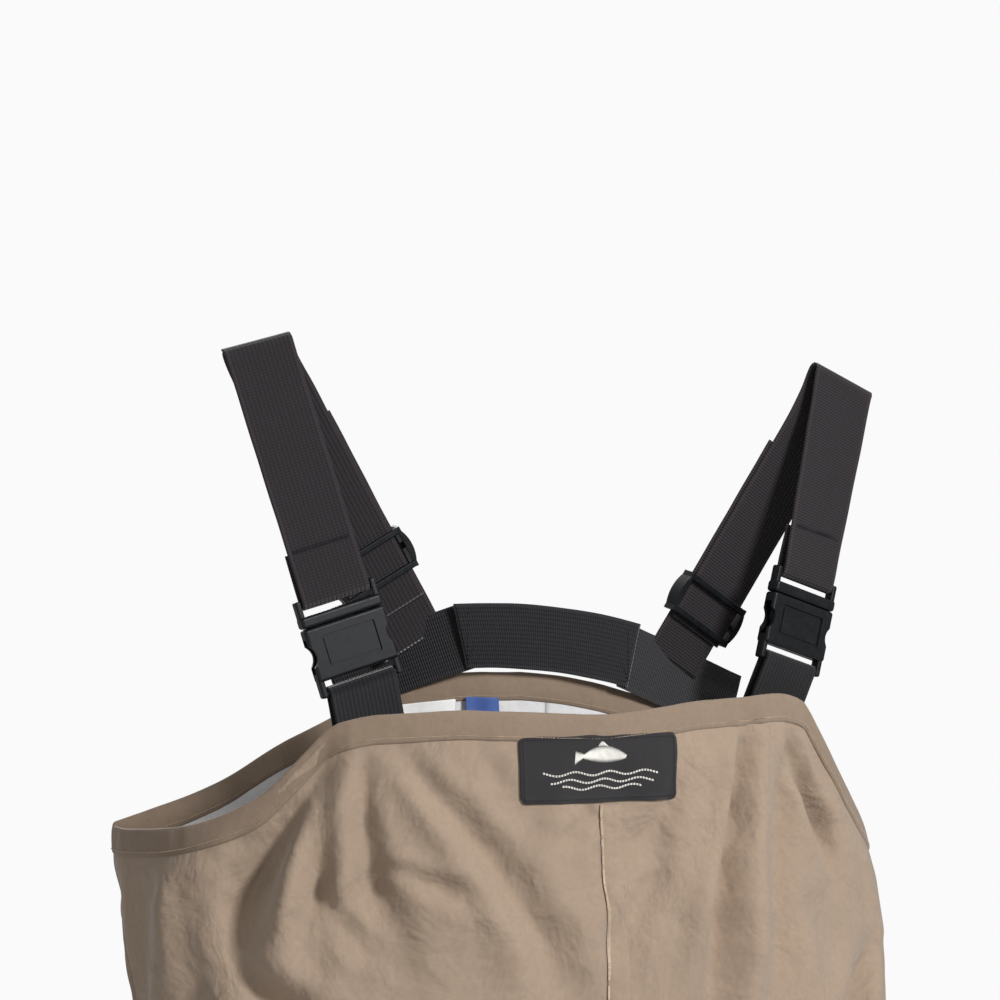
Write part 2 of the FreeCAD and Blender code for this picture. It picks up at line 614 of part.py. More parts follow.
def belt():
    """Belt webbing, its sewn end on the socket, the adjustable end on the plug, and the belt loops."""
    half = belt_point(1.0, False, 0).x
    mouth_x = belt_buckle_place()[0].x
    sewn_bar = mouth_x - SOCKET_L - SLOT_L - BAR_R
    free_bar = mouth_x + PLUG_L + SLOT_L + BAR_R + SEAM_GAP
    front_left = belt_arc(shares(-1.0, (sewn_bar - 29) / half, 8), False)
    back = belt_arc(shares(-1.0, 1.0, 14), True)
    front_right = belt_arc(shares(54 / half, 1.0, 8), False)
    save("belt_webbing", back.multiFuse([front_left, front_right]))
    sewn_end = belt_loop_end(-1, sewn_bar, [(28.5, 0.0), (12, 1.2)], [(14, 3.0), (34, 0.3), (50, 0.3)])
    save("belt_sewn_end", sewn_end)
    layers = [(14, 4.0)] + [(reach, 1.2) for reach in range(32, 120, 12)]
    save("belt_end", belt_loop_end(1, free_bar, [(18, 2.4), (9, 2.2)], layers))
    loops = []
    for u, face in ((-0.66, False), (0.66, False), (-0.45, True), (0.45, True)):
        block = belt_block([u - 0.045, u, u + 0.045], face, WEB / 2 + 7, WEB_T + 2.2, -BELT_CLEAR + 0.4)
        tunnel = belt_block([u - 0.07, u, u + 0.07], face, WEB / 2 + 2, WEB_T + 0.6, -BELT_CLEAR - 4)
        loops.append(block.cut(tunnel))
    save("belt_loops", compound(loops))


def belt_block(us, back, half_height, outer, inner):
    """A short stretch of band round the waist, from half_height below the belt's middle to above it."""
    wires = []
    for dz in (-half_height, half_height):
        out = [belt_point(v, back, outer) + Vector(0, 0, dz) for v in us]
        into = [belt_point(v, back, inner) + Vector(0, 0, dz) for v in reversed(us)]
        wires.append(outline(out + into))
    return Part.makeLoft(wires, True, True)


# ---- labels ------------------------------------------------------------------------------------------

def labels():
    """The sewn label on the chest, and the two small woven labels inside the back."""
    rows = []
    for z in (LABEL_Z + LABEL_H / 2, LABEL_Z, LABEL_Z - LABEL_H / 2):
        half = trunk_point(z, 1.0, False).x
        us = [(-LABEL_W / 2 + LABEL_W * i / 6) / half for i in range(7)]
        out = [trunk_point(z, u, False, 2.2) for u in us]
        into = [trunk_point(z, u, False, 0.9) for u in reversed(us)]
        rows.append(outline(out + into))
    save("chest_label", Part.makeLoft(rows, True, True))
    care = Part.makeBox(44, 0.8, 26, Vector(-112, 0, -268))
    care.rotate(Vector(-90, 0, -255), Vector(0, 0, 1), -24)
    care.translate(Vector(0, 17, 0))
    tag = Part.makeBox(26, 0.8, 30, Vector(-58, 9.0, -268))
    save("inner_labels", compound([care, tag]))


def main():
    """Builds every node."""
    os.makedirs("parts", exist_ok=True)
    trunk_panels()
    top_hems()
    legs()
    for side, sign in (("left", -1), ("right", 1)):
        gravel_guard(side, sign)
    booties()
    buckles()
    front_straps()
    rear_straps()
    back_band()
    belt()
    labels()


main()
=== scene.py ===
"""Chest waders hung by their suspenders: cloth, webbing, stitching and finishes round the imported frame."""

import logging
import math
from dataclasses import dataclass, field
from enum import Enum
from typing import Iterable, Sequence

import bpy
import numpy as np
from mathutils import Matrix, Vector, noise
from mathutils.bvhtree import BVHTree


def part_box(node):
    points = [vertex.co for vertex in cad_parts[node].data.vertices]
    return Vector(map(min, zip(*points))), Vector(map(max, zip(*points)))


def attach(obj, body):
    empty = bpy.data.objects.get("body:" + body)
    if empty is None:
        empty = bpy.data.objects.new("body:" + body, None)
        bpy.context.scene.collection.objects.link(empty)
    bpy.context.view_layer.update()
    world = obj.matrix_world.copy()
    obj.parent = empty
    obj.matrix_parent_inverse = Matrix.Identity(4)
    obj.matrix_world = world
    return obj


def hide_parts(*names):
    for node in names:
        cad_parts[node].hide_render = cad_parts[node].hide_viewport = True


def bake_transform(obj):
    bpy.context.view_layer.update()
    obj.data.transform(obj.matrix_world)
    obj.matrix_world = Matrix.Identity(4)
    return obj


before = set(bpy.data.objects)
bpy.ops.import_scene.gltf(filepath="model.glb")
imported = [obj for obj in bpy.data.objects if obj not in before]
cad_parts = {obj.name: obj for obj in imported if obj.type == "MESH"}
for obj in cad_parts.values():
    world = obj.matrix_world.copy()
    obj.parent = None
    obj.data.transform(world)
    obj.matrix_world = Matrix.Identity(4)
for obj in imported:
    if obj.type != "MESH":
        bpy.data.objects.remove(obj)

log = logging.getLogger("waders")

Array = np.ndarray
Material = bpy.types.Material
Node = bpy.types.Node
NodeSocket = bpy.types.NodeSocket
NodeTree = bpy.types.NodeTree
Piece = bpy.types.Object

WAIST_Z = -0.640
CROTCH_Z = -0.880
KNEE_Z = -1.180
BOOTIE_TOP_Z = -1.470
LEG_X = 0.152
HEM_H = 0.020
ROOT = "waders"

# Height, half width, Y of the side folds, Y of the front centre, Y of the back centre, fullness of the back.
TRUNK_STATIONS = (
    (-0.190, 0.276, 0.128, -0.066, 0.013, 1.00),
    (-0.250, 0.279, 0.127, -0.074, 0.015, 1.00),
    (-0.325, 0.284, 0.118, -0.086, 0.024, 1.00),
    (-0.410, 0.290, 0.080, -0.102, 0.042, 1.00),
    (-0.520, 0.284, 0.044, -0.108, 0.064, 0.60),
    (-0.606, 0.262, 0.016, -0.100, 0.086, 0.50),
    (-0.674, 0.262, 0.016, -0.100, 0.086, 0.50),
    (-0.760, 0.268, 0.004, -0.098, 0.090, 0.50),
    (-0.880, 0.262, 0.000, -0.085, 0.080, 0.50),
)
# Height, distance of the leg's axis from the middle, half width, Y of front and of back, squareness.
LEG_STATIONS = (
    (-0.884, 0.132, 0.130, -0.084, 0.079, 3.0),
    (-0.960, 0.140, 0.127, -0.079, 0.074, 2.5),
    (-1.070, 0.148, 0.117, -0.072, 0.066, 2.3),
    (-1.180, 0.152, 0.108, -0.067, 0.060, 2.2),
    (-1.290, 0.152, 0.102, -0.060, 0.061, 2.2),
    (-1.390, 0.152, 0.094, -0.057, 0.058, 2.2),
    (-1.470, 0.152, 0.084, -0.054, 0.054, 2.2),
)
RIM_FRONT = ((-0.296, -0.326), (-0.262, -0.317), (-0.226, -0.297), (-0.196, -0.266), (-0.176, -0.246),
             (-0.150, -0.240), (-0.105, -0.239), (0.000, -0.242), (0.084, -0.235), (0.150, -0.233),
             (0.180, -0.239), (0.198, -0.260), (0.226, -0.298), (0.262, -0.332), (0.298, -0.352))
RIM_BACK = ((-0.296, -0.326), (-0.262, -0.312), (-0.221, -0.294), (-0.176, -0.263), (-0.110, -0.230),
            (-0.059, -0.216), (0.000, -0.219), (0.068, -0.233), (0.120, -0.250), (0.180, -0.280),
            (0.230, -0.312), (0.262, -0.334), (0.298, -0.352))


class Face(Enum):
    """Which half of the garment a point is on."""

    FRONT = 0
    BACK = 1


class Side(Enum):
    """A side as the chest is seen, and the sign of its X."""

    LEFT = -1
    RIGHT = 1

    @property
    def word(self) -> str:
        """The side's name as the CAD nodes write it."""
        return self.name.lower()


def pair(left: Sequence[float], right: Sequence[float]) -> dict[Side, Vector]:
    """A dataclass field that holds a place or direction for each side."""
    return field(default_factory=lambda: {Side.LEFT: Vector(left), Side.RIGHT: Vector(right)})


# ---- curves ----

def smooth_through(xs: Sequence[float], ys: Sequence[float], at: Array) -> Array:
    """A smooth curve through points, held inside them.

    Args:
        xs: the points' places, rising.
        ys: their values.
        at: where the curve is wanted.

    Returns:
        The curve's values at those places.
    """
    x, y = np.asarray(xs, float), np.asarray(ys, float)
    steps, rises = np.diff(x), np.diff(y)
    slopes = rises / steps
    tangents = np.empty_like(y)
    tangents[0], tangents[-1] = slopes[0], slopes[-1]
    flat = slopes[:-1] * slopes[1:] <= 0
    mean = 2 * slopes[:-1] * slopes[1:] / np.where(flat, 1.0, slopes[:-1] + slopes[1:])
    tangents[1:-1] = np.where(flat, 0.0, mean)
    at = np.clip(at, x[0], x[-1])
    i = np.clip(np.searchsorted(x, at) - 1, 0, len(x) - 2)
    t = (at - x[i]) / steps[i]
    h = steps[i]
    return ((1 + 2 * t) * (1 - t) ** 2 * y[i] + t * (1 - t) ** 2 * h * tangents[i]
            + t * t * (3 - 2 * t) * y[i + 1] + t * t * (t - 1) * h * tangents[i + 1])


def smoothstep(low: float, high: float, value: Array) -> Array:
    """A soft ramp from 0 at low to 1 at high."""
    t = np.clip((value - low) / (high - low), 0, 1)
    return t * t * (3 - 2 * t)


def cloth_noise(points: Array, scale: float, seed: float, octaves: int = 3) -> Array:
    """Smooth noise over points.

    Args:
        points: rows of X, Y and Z in metres.
        scale: the size of its lumps in metres.
        seed: shifts the pattern.
        octaves: how many finer layers it holds.

    Returns:
        One value from about -1 to 1 for each point.
    """
    scaled = points / scale + seed
    return np.array([noise.fractal(Vector(p), 1.0, 2.0, octaves) for p in scaled])


def resample(points: Array, spacing: float) -> Array:
    """Points at even spacing along the line through points."""
    along = distance_along(points)
    count = max(2, int(round(along[-1] / spacing)) + 1)
    at = np.linspace(0, along[-1], count)
    return np.stack([np.interp(at, along, points[:, k]) for k in range(points.shape[1])], axis=1)


def unit_rows(rows: Array) -> Array:
    """Each row with length 1."""
    return rows / np.linalg.norm(rows, axis=1, keepdims=True)


def distance_along(points: Array) -> Array:
    """How far along the line through points each of them is."""
    return np.concatenate([[0.0], np.cumsum(np.linalg.norm(np.diff(points, axis=0), axis=1))])


# ---- meshes ----

def make_piece(name: str, points: Array, faces: Iterable[Sequence[int]], smooth: bool = True,
               uv: Array | None = None) -> Piece:
    """Makes a mesh object from points in the row frame.

    Args:
        name: the piece's name.
        points: its vertices, in metres.
        faces: vertex numbers of each face.
        smooth: shade its faces smooth.
        uv: a place on the cloth for each vertex, in metres.

    Returns:
        The object, in the scene.
    """
    mesh = bpy.data.meshes.new(name)
    mesh.from_pydata([tuple(map(float, p)) for p in points], [], [tuple(int(i) for i in f) for f in faces])
    mesh.validate()
    if uv is not None:
        layer = mesh.uv_layers.new(name="cloth")
        loops = np.zeros(len(mesh.loops), np.int32)
        mesh.loops.foreach_get("vertex_index", loops)
        layer.data.foreach_set("uv", np.asarray(uv, np.float32)[loops].ravel())
    if smooth:
        mesh.shade_smooth()
    piece = bpy.data.objects.new(name, mesh)
    bpy.context.scene.collection.objects.link(piece)
    return piece


def grid_faces(rows: int, columns: int, closed: bool = False, start: int = 0) -> list[tuple[int, ...]]:
    """Quads of a grid of vertices that is stored row by row."""
    made = []
    for r in range(rows - 1):
        for c in range(columns if closed else columns - 1):
            d = (c + 1) % columns
            made.append((start + r * columns + c, start + r * columns + d,
                         start + (r + 1) * columns + d, start + (r + 1) * columns + c))
    return made


def dress(piece: Piece, body: str, slot: str, *materials: Material,
          replaces: str = "") -> Piece:
    """Gives a piece its finish and the body that it rides on.

    Args:
        piece: the object.
        body: the CAD body that it moves with, or an empty string for none.
        slot: the record's material slot; not used.
        materials: its finishes, in the order of its material numbers.
        replaces: the CAD node that it takes the place of, if any.

    Returns:
        The same object.
    """
    piece.data.materials.clear()
    for material in materials:
        piece.data.materials.append(material)
    if body:
        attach(piece, body)
    if replaces:
        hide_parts(replaces)
    return piece


def add_modifier(piece: Piece, kind: str, **settings: float | int | bool | str) -> bpy.types.Modifier:
    """Adds a modifier with its settings."""
    made = piece.modifiers.new(kind.lower(), kind)
    for key, value in settings.items():
        setattr(made, key, value)
    return made


def baked_mesh(piece: Piece) -> None:
    """Turns a piece's modifiers into its mesh."""
    depsgraph = bpy.context.evaluated_depsgraph_get()
    mesh = bpy.data.meshes.new_from_object(piece.evaluated_get(depsgraph))
    piece.modifiers.clear()
    piece.data = mesh


def subdivided(piece: Piece) -> None:
    """Rounds a piece by one subdivision, kept in its mesh."""
    add_modifier(piece, "SUBSURF", levels=1, render_levels=1)
    baked_mesh(piece)


def vertex_array(piece: Piece) -> Array:
    """A piece's vertices as rows of X, Y and Z."""
    points = np.zeros(len(piece.data.vertices) * 3)
    piece.data.vertices.foreach_get("co", points)
    return points.reshape(-1, 3)


# ---- shader groups ----

class GroupMaker:
    """Builds a shader node group with named inputs and outputs."""

    def __init__(self, name: str, inputs: dict[str, float | tuple[float, ...]], outputs: dict[str, str]) -> None:
        """Starts the group.

        Args:
            name: the group's name.
            inputs: each input's name and default; four numbers make a colour.
            outputs: each output's name and its kind, Float, Color or Vector.
        """
        self.tree = bpy.data.node_groups.new(name, "ShaderNodeTree")
        for key, value in inputs.items():
            colour = isinstance(value, tuple)
            socket = self.tree.interface.new_socket(
                key, in_out="INPUT", socket_type="NodeSocketColor" if colour else "NodeSocketFloat")
            socket.default_value = value
        for key, kind in outputs.items():
            self.tree.interface.new_socket(key, in_out="OUTPUT", socket_type=f"NodeSocket{kind}")
        self.given = self.tree.nodes.new("NodeGroupInput").outputs
        self.result = self.tree.nodes.new("NodeGroupOutput")

    def node(self, kind: str, links: dict[int | str, object] | None = None, **settings: object) -> Node:
        """Adds a node; links holds what feeds each of its inputs, a socket or a number."""
        return add_node(self.tree, kind, links, **settings)

    def math(self, operation: str, *values: object) -> NodeSocket:
        """The result of a maths node on sockets or numbers."""
        return self.node("ShaderNodeMath", dict(enumerate(values)), operation=operation).outputs[0]

    def place(self, kind: str) -> NodeSocket:
        """Texture coordinates of a kind, Object or UV."""
        return self.node("ShaderNodeTexCoord").outputs[kind]

    def wave(self, place: NodeSocket, rate: NodeSocket, turn: float) -> NodeSocket:
        """A sine along a coordinate, turn radians for each of its threads."""
        return self.math("SINE", self.math("MULTIPLY", self.math("MULTIPLY", place, rate), turn))

    def finish(self, **outputs: NodeSocket) -> NodeTree:
        """Joins sockets to the group's outputs and returns the group."""
        for key, socket in outputs.items():
            self.tree.links.new(socket, self.result.inputs[key])
        return self.tree


def add_node(tree: NodeTree, kind: str, links: dict[int | str, object] | None = None,
             **settings: object) -> Node:
    """Adds a node to a tree.

    Args:
        tree: the material's or group's tree.
        kind: the node's type.
        links: what feeds each input, a socket to join or a value to set.
        settings: the node's own properties.

    Returns:
        The node.
    """
    made = tree.nodes.new(kind)
    for key, value in settings.items():
        setattr(made, key, value)
    for key, value in (links or {}).items():
        if isinstance(value, NodeSocket):
            tree.links.new(value, made.inputs[key])
        else:
            made.inputs[key].default_value = value
    return made


def mottle_group() -> NodeTree:
    """Soft cloudy variation of a colour, as cloth that has been worn and washed has."""
    g = GroupMaker("cloth_mottle", {"Colour": (0.5, 0.5, 0.5, 1.0), "Amount": 0.15, "Scale": 18.0},
                   {"Colour": "Color", "Mask": "Float"})
    place = g.place("Object")
    broad = g.node("ShaderNodeTexNoise", {"Vector": place, "Scale": g.given["Scale"], "Detail": 5.0,
                                          "Roughness": 0.62})
    fine = g.node("ShaderNodeTexNoise", {"Vector": place, "Scale": 260.0, "Detail": 2.0})
    both = g.math("MULTIPLY", broad.outputs["Fac"], fine.outputs["Fac"])
    spread = g.node("ShaderNodeMapRange", {"Value": both, "From Min": 0.14, "From Max": 0.38,
                                           "To Min": -1.0, "To Max": 1.0})
    factor = g.math("ADD", g.math("MULTIPLY", spread.outputs[0], g.given["Amount"]), 1.0)
    tint = g.node("ShaderNodeVectorMath", {0: g.given["Colour"], "Scale": factor}, operation="SCALE")
    return g.finish(Colour=tint.outputs[0], Mask=both)


def weave_group() -> NodeTree:
    """Height of a plain weave over the cloth's own measure, with threads of a given size."""
    g = GroupMaker("plain_weave", {"Threads per metre": 900.0, "Slub": 0.3}, {"Height": "Float"})
    split = g.node("ShaderNodeSeparateXYZ", {0: g.place("UV")})
    waves = [g.wave(split.outputs[key], g.given["Threads per metre"], math.pi) for key in ("X", "Y")]
    slub = g.node("ShaderNodeTexNoise", {"Vector": g.place("Object"), "Scale": 420.0, "Detail": 3.0})
    slubbed = g.math("MULTIPLY", slub.outputs["Fac"], g.given["Slub"])
    return g.finish(Height=g.math("MULTIPLY_ADD", g.math("MULTIPLY", *waves), 0.25, slubbed))


def crumple_group() -> NodeTree:
    """Height of the small soft creases that a stiff shell cloth keeps from handling."""
    g = GroupMaker("soft_creases", {"Scale": 16.0, "Sharpness": 1.0}, {"Height": "Float"})
    place = g.place("Object")
    warp = g.node("ShaderNodeTexNoise", {"Vector": place, "Scale": 9.0, "Detail": 2.0})
    bent = g.node("ShaderNodeVectorMath", {0: warp.outputs["Color"], 1: (0.09, 0.09, 0.09), 2: place},
                  operation="MULTIPLY_ADD").outputs[0]
    cells = g.node("ShaderNodeTexVoronoi", {"Vector": bent, "Scale": g.given["Scale"], "Smoothness": 0.6},
                   feature="SMOOTH_F1")
    waves = g.node("ShaderNodeTexNoise", {"Vector": bent, "Scale": 34.0, "Detail": 3.0, "Roughness": 0.55})
    ridges = g.math("MULTIPLY", cells.outputs["Distance"], g.given["Sharpness"])
    return g.finish(Height=g.math("MULTIPLY_ADD", waves.outputs["Fac"], 0.5, ridges))


def rib_group() -> NodeTree:
    """Height of the ribs across elastic or woven webbing, and a mask of its selvedges."""
    g = GroupMaker("webbing_ribs", {"Ribs per metre": 420.0, "Warps per metre": 300.0, "Width": 0.05},
                   {"Height": "Float", "Selvedge": "Float"})
    split = g.node("ShaderNodeSeparateXYZ", {0: g.place("UV")})
    ribs = g.wave(split.outputs["Y"], g.given["Ribs per metre"], math.tau)
    warps = g.wave(split.outputs["X"], g.given["Warps per metre"], math.tau)
    edge = g.math("SUBTRACT", g.math("MULTIPLY", g.given["Width"], 0.5), 0.003)
    return g.finish(Height=g.math("MULTIPLY_ADD", warps, 0.45, ribs),
                    Selvedge=g.math("GREATER_THAN", g.math("ABSOLUTE", split.outputs["X"]), edge))


@dataclass(frozen=True)
class Effects:
    """The shader groups that the finishes share."""

    mottle: NodeTree = field(default_factory=mottle_group)
    weave: NodeTree = field(default_factory=weave_group)
    crumple: NodeTree = field(default_factory=crumple_group)
    ribs: NodeTree = field(default_factory=rib_group)


def srgb(red: int, green: int, blue: int) -> tuple[float, float, float, float]:
    """A screen colour from 0 to 255 as the linear colour that a shader takes."""
    def linear(value: int) -> float:
        """One channel's linear value."""
        share = value / 255
        return share / 12.92 if share <= 0.04045 else ((share + 0.055) / 1.055) ** 2.4
    return linear(red), linear(green), linear(blue), 1.0


def blank_material(name: str, **shader: float | tuple[float, ...]) -> tuple[Material, Node]:
    """A material with a Principled shader whose own sockets hold the values given.

    Args:
        name: the material's name.
        shader: values of the shader's sockets, with _ for spaces.

    Returns:
        The material and its shader node.
    """
    material = bpy.data.materials.new(name)
    material.use_nodes = True
    node = material.node_tree.nodes["Principled BSDF"]
    for key, value in shader.items():
        node.inputs[key.replace("_", " ")].default_value = value
    return material, node


def place_group(material: Material, group: NodeTree, **values: object) -> Node:
    """Places a shader group in a material with its own values; _ stands for a space in an input's name."""
    node = add_node(material.node_tree, "ShaderNodeGroup")
    node.node_tree = group
    for key, value in values.items():
        socket = node.inputs[key.replace("_", " ")]
        if isinstance(value, NodeSocket):
            material.node_tree.links.new(value, socket)
        else:
            socket.default_value = value
    return node


def bump_chain(material: Material, shader: Node,
               layers: Sequence[tuple[NodeSocket, float, float]]) -> None:
    """Feeds heights to the shader's normal, one bump after another.

    Args:
        material: the material.
        shader: its Principled node.
        layers: each height, its strength and the depth of its relief in metres.
    """
    normal = None
    for height, strength, depth in layers:
        links = {"Height": height, "Strength": strength, "Distance": depth}
        if normal is not None:
            links["Normal"] = normal
        normal = add_node(material.node_tree, "ShaderNodeBump", links).outputs[0]
    material.node_tree.links.new(normal, shader.inputs["Normal"])


@dataclass(frozen=True)
class ShellCloth:
    """Matt woven shell cloth, with faint creases and a fine weave."""

    name: str
    colour: tuple[float, float, float, float]
    crease: float = 1.0
    roughness: float = 0.82

    def make(self, effects: Effects) -> Material:
        """Builds the material."""
        material, shader = blank_material(self.name, Roughness=self.roughness, Sheen_Weight=0.25,
                                          Sheen_Roughness=0.5, Specular_IOR_Level=0.25)
        tint = place_group(material, effects.mottle, Colour=self.colour, Amount=0.05, Scale=14.0)
        material.node_tree.links.new(tint.outputs["Colour"], shader.inputs["Base Color"])
        crumple = place_group(material, effects.crumple, Scale=15.0, Sharpness=0.8)
        weave = place_group(material, effects.weave, Threads_per_metre=1000.0, Slub=0.5)
        bump_chain(material, shader, [(crumple.outputs["Height"], 0.9 * self.crease, 0.010),
                                      (weave.outputs["Height"], 0.35, 0.0004)])
        return material


@dataclass(frozen=True)
class WovenWebbing:
    """Ribbed webbing, elastic or plain, with lighter selvedges."""

    name: str
    colour: tuple[float, float, float, float]
    selvedge: tuple[float, float, float, float]
    ribs: float = 420.0
    depth: float = 0.0005
    width: float = 0.05

    def make(self, effects: Effects) -> Material:
        """Builds the material."""
        material, shader = blank_material(self.name, Roughness=0.72, Sheen_Weight=0.3, Sheen_Roughness=0.4,
                                          Specular_IOR_Level=0.3)
        ribs = place_group(material, effects.ribs, Ribs_per_metre=self.ribs, Warps_per_metre=330.0, Width=self.width)
        mix = add_node(material.node_tree, "ShaderNodeMix", {"Factor": ribs.outputs["Selvedge"], 6: self.colour,
                                                             7: self.selvedge}, data_type="RGBA")
        tint = place_group(material, effects.mottle, Colour=mix.outputs[2], Amount=0.06, Scale=40.0)
        material.node_tree.links.new(tint.outputs["Colour"], shader.inputs["Base Color"])
        bump_chain(material, shader, [(ribs.outputs["Height"], 0.6, self.depth)])
        return material


@dataclass(frozen=True)
class Moulding:
    """Moulded plastic or rubber with a faint grain and patchy roughness."""

    name: str
    colour: tuple[float, float, float, float]
    roughness: float = 0.3
    grain: float = 0.15
    coat: float = 0.0
    metallic: float = 0.0

    def make(self, effects: Effects) -> Material:
        """Builds the material."""
        material, shader = blank_material(self.name, Coat_Weight=self.coat, Coat_Roughness=0.12,
                                          Metallic=self.metallic, Specular_IOR_Level=0.25)
        tint = place_group(material, effects.mottle, Colour=self.colour, Amount=0.10, Scale=90.0)
        material.node_tree.links.new(tint.outputs["Colour"], shader.inputs["Base Color"])
        rough = add_node(material.node_tree, "ShaderNodeMapRange", {
            "Value": tint.outputs["Mask"], "From Min": 0.1, "From Max": 0.4,
            "To Min": self.roughness * 0.8, "To Max": self.roughness * 1.25})
        material.node_tree.links.new(rough.outputs[0], shader.inputs["Roughness"])
        place = add_node(material.node_tree, "ShaderNodeTexCoord").outputs["Object"]
        grain = add_node(material.node_tree, "ShaderNodeTexNoise", {"Vector": place, "Scale": 1400.0, "Detail": 2.0})
        bump_chain(material, shader, [(grain.outputs["Fac"], self.grain, 0.0003)])
        return material


@dataclass(frozen=True)
class Finishes:
    """Every finish of the waders."""

    shell: Material
    hem: Material
    lining: Material
    elastic: Material
    nylon: Material
    band: Material
    plastic: Material
    neoprene: Material
    sole: Material
    steel: Material
    label: Material
    thread: Material
    dark_thread: Material
    motif: Material
    satin: Material
    blue: Material
    red: Material

    @staticmethod
    def make() -> "Finishes":
        """Builds the shader groups and every material."""
        fx = Effects()
        return Finishes(
            shell=ShellCloth("shell_cloth", srgb(153, 134, 116)).make(fx),
            # The hem's cloth is the shell's cloth made darker: partly the hem's own tone, partly painted shade on the
            # hem.
            hem=ShellCloth("hem_cloth", srgb(134, 116, 99), crease=0.35).make(fx),
            lining=ShellCloth("lining_cloth", srgb(214, 213, 214), crease=0.4, roughness=0.7).make(fx),
            elastic=WovenWebbing("elastic_webbing", srgb(33, 28, 32), srgb(42, 36, 40), ribs=500.0).make(fx),
            nylon=WovenWebbing("nylon_webbing", srgb(14, 15, 19), srgb(20, 21, 26), ribs=700.0).make(fx),
            band=WovenWebbing("band_webbing", srgb(26, 24, 28), srgb(33, 31, 35), ribs=600.0, width=0.046).make(fx),
            plastic=Moulding("black_acetal", srgb(13, 15, 19), roughness=0.42, coat=0.1).make(fx),
            neoprene=ShellCloth("neoprene_knit", srgb(58, 58, 62), crease=0.15, roughness=0.9).make(fx),
            sole=Moulding("sole_neoprene", srgb(44, 44, 47), roughness=0.75, grain=0.5).make(fx),
            steel=Moulding("hook_nickel", srgb(188, 188, 190), roughness=0.28, metallic=1.0).make(fx),
            label=ShellCloth("label_weave", srgb(38, 36, 38), crease=0.1, roughness=0.75).make(fx),
            thread=Moulding("pale_thread", srgb(186, 165, 144), roughness=0.6).make(fx),
            dark_thread=Moulding("dark_thread", srgb(36, 36, 40), roughness=0.6).make(fx),
            motif=Moulding("motif_thread", srgb(232, 230, 224), roughness=0.6).make(fx),
            satin=ShellCloth("satin_label", srgb(232, 232, 230), crease=0.1, roughness=0.5).make(fx),
            blue=ShellCloth("blue_weave", srgb(62, 88, 150), crease=0.1, roughness=0.6).make(fx),
            red=ShellCloth("red_weave", srgb(200, 62, 66), crease=0.1, roughness=0.6).make(fx),
        )


# ---- the cloth's form ----

def station_values(stations: Sequence[Sequence[float]], z: Array) -> list[Array]:
    """Each column of a station table at heights z."""
    table = np.array(stations)[::-1]
    return [smooth_through(table[:, 0], table[:, k], z) for k in range(1, table.shape[1])]


def trunk_surface(z: Array, u: Array, face: Face) -> Array:
    """Points of the trunk's outer surface.

    Args:
        z: heights in metres.
        u: places across, from -1 at the left fold to 1 at the right fold.
        face: the front or the back.

    Returns:
        The points, with X, Y and Z on the last axis.
    """
    half, y_side, y_front, y_back, fullness = station_values(TRUNK_STATIONS, z)
    u = np.clip(u, -1, 1)
    if face is Face.BACK:
        y = y_side + (y_back - y_side) * (1 - u * u) ** fullness
    else:
        y = y_side + (y_front - y_side) * (1 - np.abs(u) ** 2.2) ** (1 / 2.2)
    return np.stack([half * u, y, z + 0 * u], axis=-1)


def rim_height(u: Array, face: Face) -> Array:
    """Height of the top edge at places across the trunk."""
    rim = np.array(RIM_BACK if face is Face.BACK else RIM_FRONT)
    z = np.full_like(u, -0.26)
    for _ in range(4):
        x = station_values(TRUNK_STATIONS, z)[0] * u
        z = smooth_through(rim[:, 0], rim[:, 1], x)
    return z


FOLD_GAIN = 1.9


@dataclass(frozen=True)
class Fold:
    """A soft fold in the front of the trunk: a valley along a line, with a ridge on each side."""

    line: tuple[tuple[float, float], ...]
    width: float
    depth: float
    ridge: float = 0.5

    def relief(self, x: Array, z: Array) -> Array:
        """How far the cloth stands out of its plain form at X and Z; negative is in."""
        best = np.full(x.shape, 1e9)
        share = np.zeros(x.shape)
        total = sum(math.dist(a, b) for a, b in zip(self.line, self.line[1:]))
        walked = 0.0
        for (ax, az), (bx, bz) in zip(self.line, self.line[1:]):
            length = math.hypot(bx - ax, bz - az)
            t = np.clip(((x - ax) * (bx - ax) + (z - az) * (bz - az)) / length ** 2, 0, 1)
            far = np.hypot(x - ax - t * (bx - ax), z - az - t * (bz - az))
            nearer = far < best
            share = np.where(nearer, (walked + t * length) / total, share)
            best = np.minimum(best, far)
            walked += length
        width = self.width * (0.45 + 0.9 * share)
        fade = smoothstep(-0.05, 0.15, share) * (1 - smoothstep(0.55, 1.02, share))
        valley = np.exp(-(best / width) ** 1.6)
        bank = np.exp(-((best - 1.9 * width) / (0.9 * width)) ** 2)
        return FOLD_GAIN * self.depth * fade * (self.ridge * bank - valley)


def both_sides(line: tuple[tuple[float, float], ...], width: float, depth: float) -> tuple[Fold, Fold]:
    """A fold given on the right, on the left and then on the right."""
    return Fold(tuple((-x, z) for x, z in line), width, depth), Fold(line, width, depth)


